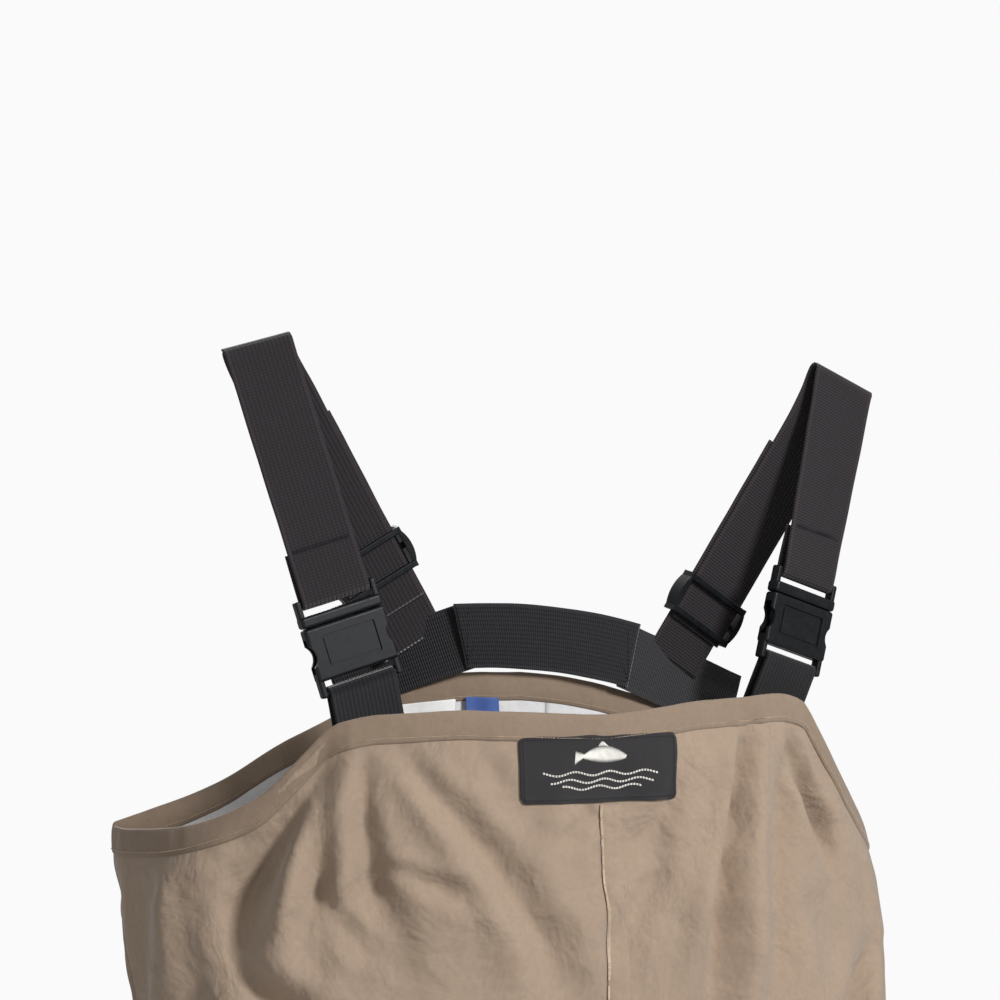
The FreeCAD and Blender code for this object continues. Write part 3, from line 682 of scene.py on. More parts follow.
FRONT_FOLDS = (
    Fold(((-0.176, -0.252), (-0.198, -0.290), (-0.222, -0.325), (-0.243, -0.365), (-0.258, -0.430)), 0.013, 0.016),
    Fold(((-0.170, -0.262), (-0.186, -0.300), (-0.200, -0.345), (-0.205, -0.400)), 0.009, 0.007),
    Fold(((-0.160, -0.262), (-0.166, -0.300), (-0.160, -0.350), (-0.150, -0.420)), 0.010, 0.005),
    Fold(((-0.140, -0.262), (-0.118, -0.290), (-0.080, -0.335), (-0.045, -0.390), (-0.02, -0.46)), 0.012, 0.006),
    Fold(((-0.155, -0.337), (-0.119, -0.352), (-0.088, -0.364)), 0.006, 0.004, 0.8),
    Fold(((-0.182, -0.371), (-0.168, -0.352), (-0.150, -0.338)), 0.008, 0.005),
    Fold(((-0.200, -0.345), (-0.182, -0.376), (-0.160, -0.410)), 0.007, 0.005),
    Fold(((0.130, -0.237), (0.122, -0.270), (0.112, -0.310), (0.105, -0.345), (0.088, -0.420), (0.07, -0.50)),
         0.012, 0.012),
    Fold(((0.165, -0.255), (0.182, -0.292), (0.204, -0.330), (0.225, -0.380)), 0.008, 0.007),
    Fold(((0.170, -0.262), (0.160, -0.320), (0.150, -0.400), (0.13, -0.50)), 0.013, 0.005),
    Fold(((0.068, -0.262), (0.050, -0.310), (0.020, -0.345)), 0.009, 0.003),
    Fold(((-0.005, -0.306), (-0.020, -0.320), (-0.036, -0.334)), 0.006, 0.005),
    Fold(((0.045, -0.345), (0.020, -0.380), (-0.010, -0.410)), 0.011, 0.004),
    Fold(((-0.09, -0.255), (-0.075, -0.280), (-0.069, -0.300)), 0.006, 0.003),
    Fold(((-0.250, -0.40), (-0.20, -0.46), (-0.12, -0.54)), 0.018, 0.009),
    Fold(((0.245, -0.42), (0.20, -0.49), (0.13, -0.56)), 0.018, 0.009),
    Fold(((-0.02, -0.46), (-0.04, -0.53), (-0.05, -0.60)), 0.014, 0.006),
    *both_sides(((0.16, -0.69), (0.12, -0.76), (0.03, -0.86)), 0.016, 0.009),
    *both_sides(((0.22, -0.68), (0.20, -0.76), (0.14, -0.86)), 0.014, 0.006),
)


BACK_FOLDS = (
    Fold(((-0.250, -0.36), (-0.200, -0.44), (-0.140, -0.53), (-0.10, -0.60)), 0.016, 0.009),
    Fold(((0.250, -0.38), (0.205, -0.45), (0.150, -0.53), (0.11, -0.60)), 0.016, 0.009),
    Fold(((-0.110, -0.26), (-0.100, -0.36), (-0.060, -0.48), (-0.05, -0.58)), 0.015, 0.007),
    Fold(((0.100, -0.27), (0.085, -0.37), (0.050, -0.47), (0.045, -0.58)), 0.015, 0.007),
    Fold(((0.02, -0.30), (0.010, -0.42), (-0.015, -0.55)), 0.014, 0.005),
    *both_sides(((0.17, -0.69), (0.12, -0.76), (0.05, -0.86)), 0.016, 0.009),
    *both_sides(((0.21, -0.68), (0.18, -0.77), (0.16, -0.88)), 0.014, 0.007),
)


# ---- the garment ----

@dataclass(frozen=True)
class PanelCut:
    """A cloth panel: its piece name and the width and length that it was cut to, in metres."""

    name: str
    flat: tuple[float, float]


PANELS = (
    PanelCut("front_panel_left", (0.42, 0.68)), PanelCut("front_panel_right", (0.42, 0.68)),
    PanelCut("back_panel_right", (0.40, 0.70)), PanelCut("back_panel_left", (0.40, 0.70)),
    *(PanelCut(f"{side.word}_{part}_{face}", (width, length)) for side in Side
      for part, length, widths in (("thigh", 0.34, (0.42, 0.40)), ("shin", 0.32, (0.30, 0.30)))
      for face, width in zip(("front", "back"), widths)),
    PanelCut("crotch_gusset", (0.12, 0.24)),
)
PANEL_NUMBER = {cut.name: number for number, cut in enumerate(PANELS)}


class ClothSurface:
    """The outside of the finished cloth, for pieces that lie on it."""

    def __init__(self, points: Array, faces: Sequence[Sequence[int]]) -> None:
        """Keeps a search tree of the cloth's faces."""
        self.tree = BVHTree.FromPolygons([tuple(p) for p in points], [tuple(f) for f in faces])

    def lay(self, points: Array, lift: float) -> tuple[Array, Array]:
        """Moves points to the nearest place on the cloth.

        Args:
            points: rows of X, Y and Z.
            lift: how far above the cloth they end.

        Returns:
            The moved points and the cloth's outward direction at each.
        """
        found = [self.tree.find_nearest(Vector(p)) for p in points]
        normals = np.array([hit[1] for hit in found])
        return np.array([hit[0] for hit in found]) + normals * lift, normals

    def lay_from_front(self, x: Array, z: Array, start: float, lift: float
                       ) -> tuple[Array, Array]:
        """Drops points along +Y onto the cloth.

        Args:
            x: their X.
            z: their Z.
            start: the Y that they start from.
            lift: how far in front of the cloth they end.

        Returns:
            The points and the direction from the cloth towards the start.
        """
        places, normals = [], []
        for px, pz in zip(x, z):
            hit, normal, _, _ = self.tree.ray_cast(Vector((px, start, pz)), Vector((0, 1, 0)))
            if hit is None:
                hit, normal = Vector((px, start + 0.03, pz)), Vector((0, -1, 0))
            normal = normal if normal.y < 0 else -normal
            places.append(hit + normal * lift)
            normals.append(normal)
        return np.array(places), np.array(normals)


@dataclass
class Garment:
    """Trunk and legs as one grid of cloth, hung, creased and then parted at its seams."""

    quarter: int = 46
    trunk_rows: int = 96
    wall: int = 18
    leg_rows: int = 86
    thickness: float = 0.0009
    spare: float = 0.022
    most_drift: float = 0.012
    frames: int = 16

    def columns(self) -> Array:
        """Place across of each column of the trunk, from the left fold round the front."""
        turn = np.cos(np.pi * np.arange(2 * self.quarter) / (2 * self.quarter))
        return np.concatenate([-turn, turn])

    def trunk_form(self) -> Array:
        """The trunk's plain form: rows from the top edge down to the crotch."""
        u = self.columns()
        half = 2 * self.quarter
        rim = np.concatenate([rim_height(u[:half], Face.FRONT), rim_height(u[half:], Face.BACK)])
        share = np.linspace(0, 1, self.trunk_rows)[:, None]
        z = rim[None, :] + share * (CROTCH_Z - rim[None, :])
        wide = np.broadcast_to(u, z.shape)
        front = trunk_surface(z[:, :half], wide[:, :half], Face.FRONT)
        back = trunk_surface(z[:, half:], wide[:, half:], Face.BACK)
        return np.concatenate([front, back], axis=1)

    def leg_ring(self, z: float, side: Side) -> Array:
        """Points round a leg at height z, from its outer fold round the front."""
        axis, half, y_front, y_back, square = (float(v[0]) for v in station_values(LEG_STATIONS, np.array([z])))
        corner = math.radians(52 - 16 * min(1.0, (CROTCH_Z - z) / 0.25))
        m, j = self.quarter, self.wall
        angles = np.concatenate([(math.pi - corner) * np.arange(m + 1) / m,
                                 math.pi - corner + 2 * corner * np.arange(1, j) / j,
                                 math.pi + corner + (math.pi - corner) * np.arange(m) / m])
        c, s = np.cos(angles), np.sin(angles)
        x = side.value * (axis + half * np.sign(c) * np.abs(c) ** (2 / square))
        reach = np.where(s > 0, y_front, y_back)
        return np.stack([x, reach * np.abs(s) ** (2 / square), np.full_like(x, z)], axis=1)

    def assemble(self) -> tuple[Array, list[tuple[int, ...]], list[int], Array]:
        """Points, faces, panel numbers and cloth places of the whole garment."""
        m, j = self.quarter, self.wall
        trunk = self.trunk_form()
        rows, wide = trunk.shape[:2]
        points = [trunk.reshape(-1, 3)]
        along = distance_along(trunk[rows // 2])
        places = [np.stack([np.broadcast_to(along, (rows, wide)), trunk[..., 2]], axis=-1).reshape(-1, 2)]
        faces, panels = [], []
        for r in range(1, rows - 1):
            for c in range(wide):
                d = (c + 1) % wide
                faces.append((r * wide + c, (r + 1) * wide + c, (r + 1) * wide + d, r * wide + d))
                panels.append(c // m)
        last = (rows - 1) * wide
        t = np.arange(1, j)[:, None] / j
        line = trunk[-1, m] * (1 - t) + trunk[-1, 3 * m] * t
        first = rows * wide
        points.append(line)
        places.append(line[:, 1:3])
        crotch = list(range(first, first + j - 1))
        start = first + j - 1
        for side in Side:
            if side is Side.LEFT:
                ring = [last + k for k in range(m + 1)] + crotch + [last + k for k in range(3 * m, 4 * m)]
            else:
                ring = [last + k for k in range(2 * m, m - 1, -1)] + crotch + [
                    last + k for k in range(3 * m, 2 * m, -1)]
            above = np.concatenate(points)[ring]
            heights = np.linspace(CROTCH_Z, BOOTIE_TOP_Z, self.leg_rows + 1)[1:]
            count = len(ring)
            before = ring
            for row, z in enumerate(heights):
                own = self.leg_ring(float(z), side)
                blend = float(smoothstep(0.0, 0.10, np.array(CROTCH_Z - z)))
                shaped = above * (1 - blend) + own * blend
                shaped[:, 2] = z
                points.append(shaped)
                places.append(np.stack([distance_along(own), shaped[:, 2]], axis=1))
                ids = list(range(start, start + count))
                start += count
                for i in range(count):
                    k = (i + 1) % count
                    quad = (before[i], ids[i], ids[k], before[k])
                    faces.append(quad if side is Side.LEFT else quad[::-1])
                    panels.append(self.leg_panel(side, i, row, float(z)))
                before = ids
        return np.concatenate(points), faces, panels, np.concatenate(places)

    def leg_panel(self, side: Side, i: int, row: int, z: float) -> int:
        """Number of the panel that a leg's face belongs to."""
        if row < 6 and self.quarter <= i < self.quarter + self.wall:
            return PANEL_NUMBER["crotch_gusset"]
        part = "thigh" if z > KNEE_Z else "shin"
        face = "front" if i < self.quarter + self.wall // 2 else "back"
        return PANEL_NUMBER[f"{side.word}_{part}_{face}"]

    def handling(self, points: Array, normals: Array) -> Array:
        """The folds and creases that hanging and wear have put in the cloth.

        Args:
            points: the plain form.
            normals: its outward directions.

        Returns:
            How far each point moves along its direction.
        """
        x, y, z = points.T
        front = smoothstep(0.05, 0.45, -normals[:, 1])
        relief = sum(fold.relief(x, z) for fold in FRONT_FOLDS) * front
        relief += sum(fold.relief(x, z) for fold in BACK_FOLDS) * smoothstep(0.05, 0.45, normals[:, 1])
        trunk = smoothstep(CROTCH_Z - 0.05, CROTCH_Z + 0.02, z)
        belt = smoothstep(0.036, 0.080, np.abs(z - WAIST_Z))
        rim = rim_height(np.clip(x / 0.284, -1, 1), Face.FRONT)
        near_rim = smoothstep(0.004, 0.05, rim - z)
        stretched = points / np.array([0.10, 0.10, 0.19])
        broad = cloth_noise(stretched, 1.0, 3.0, 2) * 0.0052
        slant = points @ np.array([[0.8, 0, 0.6], [0, 1, 0], [-0.6, 0, 0.8]])
        diagonal = cloth_noise(slant / np.array([0.030, 0.05, 0.13]), 1.0, 9.0, 2)
        fine = cloth_noise(points, 0.030, 5.0, 3) * 0.0013
        creases = (1 - np.abs(diagonal)) ** 5 * -0.0022
        knees = np.exp(-((z - KNEE_Z) / 0.075) ** 2) + 0.8 * np.exp(-((z + 1.345) / 0.05) ** 2) + 0.35
        bands = cloth_noise(points / np.array([0.11, 0.11, 0.030]), 1.0, 17.0, 2)
        legs = (1 - trunk) * ((1 - np.abs(bands)) ** 4 * 0.0055 * knees + bands * 0.002)
        ankle = smoothstep(-1.372, -1.335, z)
        upper = relief * near_rim + (broad + creases + fine) * (0.25 + 0.75 * near_rim)
        return trunk * upper * belt + (legs + (1 - trunk) * (broad * 0.7 + fine)) * ankle

    def hang(self, piece: Piece) -> None:
        """Lets the cloth, cut a little large, settle under its own weight.

        Args:
            piece: the whole garment, whose mesh takes the result.
        """
        rest = vertex_array(piece)
        z = rest[:, 2]
        rim = np.where(rest[:, 1] < 0.13, rim_height(np.clip(rest[:, 0] / 0.284, -1, 1), Face.FRONT), -0.2)
        back = rim_height(np.clip(rest[:, 0] / 0.284, -1, 1), Face.BACK)
        rim = np.where(rest[:, 1] > 0.0, np.minimum(rim, back), rim)
        held = (z > rim - 0.030) | (np.abs(z - WAIST_Z) < 0.034) | (z < -1.368)
        group = piece.vertex_groups.new(name="held")
        group.add([int(i) for i in np.nonzero(held)[0]], 1.0, "REPLACE")
        cloth = piece.modifiers.new("settle", "CLOTH")
        cloth.settings.quality = 5
        cloth.settings.mass = 0.12
        cloth.settings.tension_stiffness = 30
        cloth.settings.compression_stiffness = 30
        cloth.settings.shear_stiffness = 12
        cloth.settings.bending_stiffness = 0.25
        cloth.settings.shrink_min = -self.spare
        cloth.settings.vertex_group_mass = "held"
        cloth.collision_settings.use_collision = False
        scene = bpy.context.scene
        for frame_number in range(1, self.frames + 1):
            scene.frame_set(frame_number)
        settled = piece.evaluated_get(bpy.context.evaluated_depsgraph_get()).to_mesh()
        after = np.zeros(len(rest) * 3)
        settled.vertices.foreach_get("co", after)
        move = after.reshape(-1, 3) - rest
        length = np.linalg.norm(move, axis=1, keepdims=True)
        move *= self.most_drift * np.tanh(length / self.most_drift) / np.maximum(length, 1e-9)
        piece.modifiers.clear()
        piece.vertex_groups.clear()
        scene.frame_set(1)
        piece.data.vertices.foreach_set("co", (rest + move).ravel())
        piece.data.update()

    def build(self, finishes: Finishes) -> "Garment":
        """Makes the cloth panels.

        Args:
            finishes: the finishes.

        Returns:
            Itself, with the finished cloth's rows and surface to sew on.
        """
        points, faces, panels, places = self.assemble()
        whole = make_piece("garment_form", points, faces, uv=places)
        whole.data.polygons.foreach_set("material_index", panels)
        areas = np.zeros(len(faces))
        whole.data.polygons.foreach_get("area", areas)
        normals = np.zeros(len(points) * 3)
        whole.data.vertex_normals.foreach_get("vector", normals)
        normals = normals.reshape(-1, 3)
        moved = points + normals * self.handling(points, normals)[:, None]
        whole.data.vertices.foreach_set("co", moved.ravel())
        whole.data.update()
        self.hang(whole)
        self.top = vertex_array(whole)[:4 * self.quarter * self.trunk_rows].reshape(
            self.trunk_rows, 4 * self.quarter, 3)
        subdivided(whole)
        cut_areas = np.bincount(panels, weights=areas, minlength=len(PANELS))
        self.split(whole, cut_areas, finishes)
        return self

    def thin_at_folds(self, panel: Piece) -> None:
        """Weights that let the lining close up where the trunk folds sharply at its sides."""
        points = vertex_array(panel)
        half = station_values(TRUNK_STATIONS, points[:, 2])[0]
        trunk = points[:, 2] > CROTCH_Z
        weight = np.where(trunk, smoothstep(0.002, 0.050, half - np.abs(points[:, 0])), 1.0)
        group = panel.vertex_groups.new(name="full")
        for number, value in enumerate(weight):
            group.add([number], float(value), "REPLACE")

    def split(self, whole: Piece, areas: Array, finishes: Finishes) -> None:
        """Parts the finished cloth at its seams and gives each panel its thickness and lining."""
        mesh = whole.data
        points = vertex_array(whole)
        corners = np.zeros(len(mesh.polygons) * 4, np.int32)
        mesh.polygons.foreach_get("vertices", corners)
        corners = corners.reshape(-1, 4)
        numbers = np.zeros(len(mesh.polygons), np.int32)
        mesh.polygons.foreach_get("material_index", numbers)
        uv = np.zeros(len(mesh.loops) * 2, np.float32)
        mesh.uv_layers[0].data.foreach_get("uv", uv)
        uv = uv.reshape(-1, 4, 2)
        self.surface = ClothSurface(points, corners)
        for number, cut in enumerate(PANELS):
            chosen = numbers == number
            used, renumbered = np.unique(corners[chosen], return_inverse=True)
            panel = make_piece(cut.name, points[used], renumbered.reshape(-1, 4))
            layer = panel.data.uv_layers.new(name="cloth")
            layer.data.foreach_set("uv", uv[chosen].ravel())
            self.thin_at_folds(panel)
            add_modifier(panel, "SOLIDIFY", thickness=self.thickness, offset=-1.0, material_offset=1,
                         vertex_group="full", thickness_vertex_group=0.02)
            panel.data.materials.append(finishes.shell)
            panel.data.materials.append(finishes.lining)
            baked_mesh(panel)
            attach(panel, ROOT)
            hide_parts(cut.name)
        bpy.data.objects.remove(whole)


# ---- thread ----

def thread_piece(name: str, starts: Array, ends: Array, normals: Array, radius: float,
                 material: Material, slot: str) -> Piece:
    """Stitches as separate plump grains of thread.

    Args:
        name: the piece's name.
        starts: one end of each stitch.
        ends: its other end.
        normals: outward direction at each stitch.
        radius: the thread's radius.
        material: its finish.
        slot: the record's slot that it belongs to.

    Returns:
        The piece, riding on the garment.
    """
    axis = ends - starts
    length = np.maximum(np.linalg.norm(axis, axis=1, keepdims=True), 1e-6)
    axis = axis / length
    side = np.cross(axis, normals)
    side /= np.maximum(np.linalg.norm(side, axis=1, keepdims=True), 1e-9)
    up = np.cross(side, axis)
    rings = ((0.0, 0.25), (0.2, 0.95), (0.5, 1.1), (0.8, 0.95), (1.0, 0.25))
    around = [(math.cos(math.tau * k / 6), math.sin(math.tau * k / 6)) for k in range(6)]
    blocks = [starts + axis * length * t + (side * c + up * s) * (radius * r)
              for t, r in rings for c, s in around]
    points = np.stack(blocks, axis=1).reshape(-1, 3)
    one = grid_faces(len(rings), 6, closed=True) + [(5, 4, 3, 2, 1, 0), tuple(range(24, 30))]
    faces = [tuple(30 * k + i for i in face) for k in range(len(starts)) for face in one]
    return dress(make_piece(name, points, faces), ROOT, slot, material)


def run_of_stitches(line: Array, normals: Array, pitch: float, share: float = 0.68
                    ) -> tuple[Array, Array, Array]:
    """Splits a line on the cloth into stitches.

    Args:
        line: points along the seam.
        normals: outward direction at each.
        pitch: length of a stitch and its gap.
        share: the stitch's share of that length.

    Returns:
        The stitches' starts, ends and outward directions.
    """
    both = resample(np.concatenate([line, normals], axis=1), pitch)
    starts = both[:-1, :3]
    ends = starts + (both[1:, :3] - starts) * share
    return starts, ends, both[:-1, 3:]


# ---- hems and seams ----

@dataclass
class TopHems:
    """The turned and stitched hem round the top opening."""

    height: float = HEM_H
    outward: float = 0.0016
    inward: float = 0.0024
    pitch: float = 0.0036

    def band(self, garment: Garment, face: Face) -> tuple[Array, Array, Array, Array]:
        """Rows of the cloth's top edge on one face.

        Args:
            garment: the finished garment.
            face: front or back.

        Returns:
            The edge, the unit direction down the cloth, the outward direction, and distance along it.
        """
        m = garment.quarter
        ids = list(range(2 * m + 1)) if face is Face.FRONT else [k % (4 * m) for k in range(2 * m, 4 * m + 1)]
        edge, lower = garment.top[0][ids], garment.top[3][ids]
        joined = resample(np.concatenate([edge, lower], axis=1), 0.004)
        edge, lower = joined[:, :3], joined[:, 3:]
        down = lower - edge
        down = unit_rows(down)
        across = np.gradient(edge, axis=0)
        out = np.cross(down, across)
        out = unit_rows(out)
        return edge, down, out, distance_along(edge)

    def profile(self) -> list[tuple[float, float]]:
        """Distance below the edge and distance outwards of each point round the hem's section."""
        h, o, i = self.height, self.outward, self.inward
        return [(h + 0.0006, -0.0002), (h, o * 0.8), (h * 0.88, o), (h * 0.6, o * 1.15), (h * 0.3, o * 1.1),
                (0.0022, o * 0.9), (0.0004, o * 0.35), (0.0004, -i * 0.5), (0.0022, -i), (h * 0.3, -i * 1.15),
                (h * 0.6, -i * 1.2), (h * 0.88, -i), (h, -i * 0.8), (h + 0.0006, -0.0008)]

    def build(self, garment: Garment, finishes: Finishes) -> None:
        """Makes the front and the back hem and their stitches."""
        for face in Face:
            edge, down, out, along = self.band(garment, face)
            pucker = np.array([noise.noise(Vector((s / 0.011, face.value * 9.0, 0.5))) for s in along])
            slack = np.array([noise.noise(Vector((s / 0.05, face.value * 5.0, 2.5))) for s in along])
            rows = []
            for below, off in self.profile():
                swell = 0.00055 * pucker * math.sin(math.pi * min(1.0, below / self.height)) * (1 if off > 0 else -1)
                rows.append(edge + down * (below + 0.0007 * slack[:, None]) + out * (off + swell[:, None]))
            points = np.stack(rows, axis=1)
            count, around = points.shape[:2]
            v = np.cumsum([0.0] + [0.004] * (around - 1))
            uv = np.stack(np.broadcast_arrays(along[:, None], v[None, :]), axis=-1)
            faces = grid_faces(count, around, closed=True)
            caps = [tuple(range(around)), tuple(reversed(range((count - 1) * around, count * around)))]
            name = f"{face.name.lower()}_top_hem"
            piece = make_piece(name, points.reshape(-1, 3), [f[::-1] for f in faces] + caps,
                               uv=uv.reshape(-1, 2))
            subdivided(piece)
            # The hem's colour is darker than the shell's, partly as painted shade.
            dress(piece, ROOT, "hem_cloth", finishes.hem, replaces=name)
            self.stitch(name, edge, down, out, finishes)
            log.info("%s %.2f m long", name, along[-1])

    def stitch(self, name: str, edge: Array, down: Array, out: Array, finishes: Finishes) -> None:
        """The row of stitches near the foot of a hem, outside and inside."""
        line = edge + down * (self.height * 0.86)
        for place, off, sign in (("outside", self.outward + 0.0001, 1), ("inside", -self.inward - 0.0001, -1)):
            starts, ends, normals = run_of_stitches(line + out * off, out * sign, self.pitch)
            thread_piece(f"{name}_stitches_{place}", starts, ends, normals, 0.00028, finishes.thread, "hem_cloth")


@dataclass
class Seams:
    """Felled seams with their stitches, laid on the finished cloth."""

    tape: float = 0.015
    pitch: float = 0.0029
    label_foot: float = -0.3035

    def strip(self, name: str, line: Array, sideways: Array, width: float, surface: ClothSurface,
              finishes: Finishes) -> None:
        """A low flat fell along a seam.

        Args:
            name: the piece's name.
            line: points along the seam.
            sideways: the direction that its width runs in.
            width: its width.
            surface: the cloth.
            finishes: the finishes.
        """
        line = resample(line, 0.005)
        shares = (-0.02, 0.0, 0.06, 0.35, 0.65, 0.94, 1.0, 1.02)
        lifts = (-0.0003, 0.0003, 0.00065, 0.0007, 0.0007, 0.00065, 0.0003, -0.0003)
        rows, places = [], []
        for share, lift in zip(shares, lifts):
            laid, _ = surface.lay(line + sideways * (width * share), lift)
            rows.append(laid)
            places.append(np.stack([np.full(len(line), width * share), line[:, 2]], axis=1))
        points = np.stack(rows, axis=1)
        uv = np.stack(places, axis=1).reshape(-1, 2)
        piece = make_piece(name, points.reshape(-1, 3), grid_faces(len(line), len(shares)), uv=uv)
        add_modifier(piece, "SOLIDIFY", thickness=0.0006, offset=-1.0)
        baked_mesh(piece)
        dress(piece, ROOT, "shell_cloth", finishes.shell)

    def stitched(self, name: str, line: Array, surface: ClothSurface, finishes: Finishes,
                 sideways: Array | None = None) -> None:
        """A row of stitches on the cloth; with sideways they lie across the seam like a ladder."""
        laid, normals = surface.lay(resample(line, 0.004), 0.0009)
        starts, ends, outward = run_of_stitches(laid, normals, self.pitch)
        if sideways is not None:
            middle = (starts + ends) / 2
            starts, ends = middle - sideways * 0.0013, middle + sideways * 0.0013
        thread_piece(name, starts, ends, outward, 0.00026, finishes.thread, "shell_cloth")

    def build(self, garment: Garment, finishes: Finishes) -> None:
        """Sews the centre, side, knee and inner leg seams."""
        m, surface = garment.quarter, garment.surface
        right = np.array([1.0, 0, 0])
        for name, column, top in (("front_centre_seam", m, self.label_foot), ("back_centre_seam", 3 * m, -0.242)):
            line = garment.top[:, column]
            line = line[(line[:, 2] > CROTCH_Z + 0.004) & (line[:, 2] < top)]
            self.strip(name, line, right, self.tape, surface, finishes)
            self.stitched(f"{name}_ladder", line, surface, finishes, right)
            self.stitched(f"{name}_second_row", line + right * self.tape * 0.88, surface, finishes)
        for side in Side:
            column = 0 if side is Side.LEFT else 2 * m
            line = garment.top[4:, column]
            backward = np.array([0.0, 1.0, 0.0])
            self.stitched(f"{side.word}_side_seam_stitches", line - right * side.value * 0.004 + backward * 0.002,
                          surface, finishes)
            for place, z in (("knee", KNEE_Z), ("knee_lower", KNEE_Z - 0.006)):
                ring = garment.leg_ring(z, side)
                ring = np.concatenate([ring, ring[:1]])
                self.stitched(f"{side.word}_{place}_stitches", ring, surface, finishes)
            for place, share in (("outseam", 0.0), ("inseam", 0.5)):
                heights = np.linspace(CROTCH_Z - 0.05, -1.38, 60)
                line = []
                for z in heights:
                    ring = garment.leg_ring(float(z), side)
                    line.append(ring[int(share * (len(ring) - 1))])
                self.stitched(f"{side.word}_{place}_stitches", np.array(line), surface, finishes)
        log.info("seams sewn")


# ---- webbing ----

@dataclass(frozen=True)
class Station:
    """One place along a run of webbing: its middle, and the directions of its width and its face."""

    middle: Vector
    across: Vector
    normal: Vector


def unit(vector: Vector) -> Vector:
    """The vector with length 1."""
    return Vector(vector).normalized()


def mixed(a: Vector, b: Vector, share: float) -> Vector:
    """A unit direction between two."""
    return unit(a * (1 - share) + b * share)


def straight_frame(direction: Vector, width: Vector) -> tuple[Vector, Vector]:
    """Unit width and face directions of webbing that runs along a direction."""
    along = unit(direction)
    across = unit(width - along * width.dot(along))
    return across, unit(across.cross(along))


def spin_sign(axis: Vector, start: Vector, towards: Vector) -> int:
    """1 if turning start about axis by the right-hand rule heads towards a direction, or -1."""
    return 1 if axis.cross(start).dot(towards) > 0 else -1


def turned(centre: Vector, across: Vector, start: Vector, radius: float, angle: float, steps: int
           ) -> list[Station]:
    """Stations round a bend.

    Args:
        centre: the bar's middle.
        across: the bar's direction.
        start: unit direction from the bar to the first station.
        radius: distance of the webbing's middle from the bar.
        angle: how far it turns, in degrees.
        steps: how many steps it takes.

    Returns:
        The stations.
    """
    found = []
    for i in range(steps + 1):
        out = Matrix.Rotation(math.radians(angle * i / steps), 3, unit(across)) @ start
        found.append(Station(centre + out * radius, Vector(across), out))
    return found


@dataclass(frozen=True)
class Ribbon:
    """Woven webbing with rounded selvedges, laid through stations."""

    width: float = 0.050
    thickness: float = 0.0018
    step: float = 0.0025
    wave: float = 0.00035

    def make(self, name: str, stations: Sequence[Station], seed: float = 1.0) -> Piece:
        """Lays the webbing.

        Args:
            name: the piece's name.
            stations: where it goes.
            seed: shifts its slight waviness.

        Returns:
            The piece, with its width and length as its cloth places.
        """
        table = np.array([[*s.middle, *unit(s.across), *unit(s.normal)] for s in stations])
        gaps = np.maximum(np.linalg.norm(np.diff(table[:, :3], axis=0), axis=1), 1e-5)
        along = np.concatenate([[0.0], np.cumsum(gaps)])
        count = max(8, int(along[-1] / self.step))
        at = np.linspace(0, along[-1], count)
        laid = np.stack([smooth_through(along, table[:, k], at) for k in range(9)], axis=1)
        middle, across, face = laid[:, :3], laid[:, 3:6], laid[:, 6:]
        across = unit_rows(across)
        face -= across * np.sum(face * across, axis=1, keepdims=True)
        face = unit_rows(face)
        half, deep = self.width / 2, self.thickness / 2
        top = [(-1.0, 0.0), (-0.988, 0.75), (-0.965, 1.05), (-0.93, 0.95), (-0.5, 1.0), (0.0, 1.0), (0.5, 1.0),
               (0.93, 0.95), (0.965, 1.05), (0.988, 0.75), (1.0, 0.0)]
        section = top + [(a, -h) for a, h in reversed(top[1:-1])]
        curl = np.array([noise.noise(Vector((s / 0.06, seed, 0.3))) for s in at]) * self.wave
        edge = np.array([noise.noise(Vector((s / 0.03, seed, 7.3))) for s in at]) * 0.0003
        rows, places = [], []
        for a, h in section:
            lift = h * deep + curl * (2 * a * a - 0.6)
            rows.append(middle + across * (a * (half + edge))[:, None] + face * lift[:, None])
            places.append(np.stack([np.full(count, a * half), at], axis=1))
        points = np.stack(rows, axis=1)
        around = len(section)
        caps = [tuple(reversed(range(around))), tuple(range((count - 1) * around, count * around))]
        uv = np.stack(places, axis=1).reshape(-1, 2)
        return make_piece(name, points.reshape(-1, 3), grid_faces(count, around, closed=True) + caps, uv=uv)


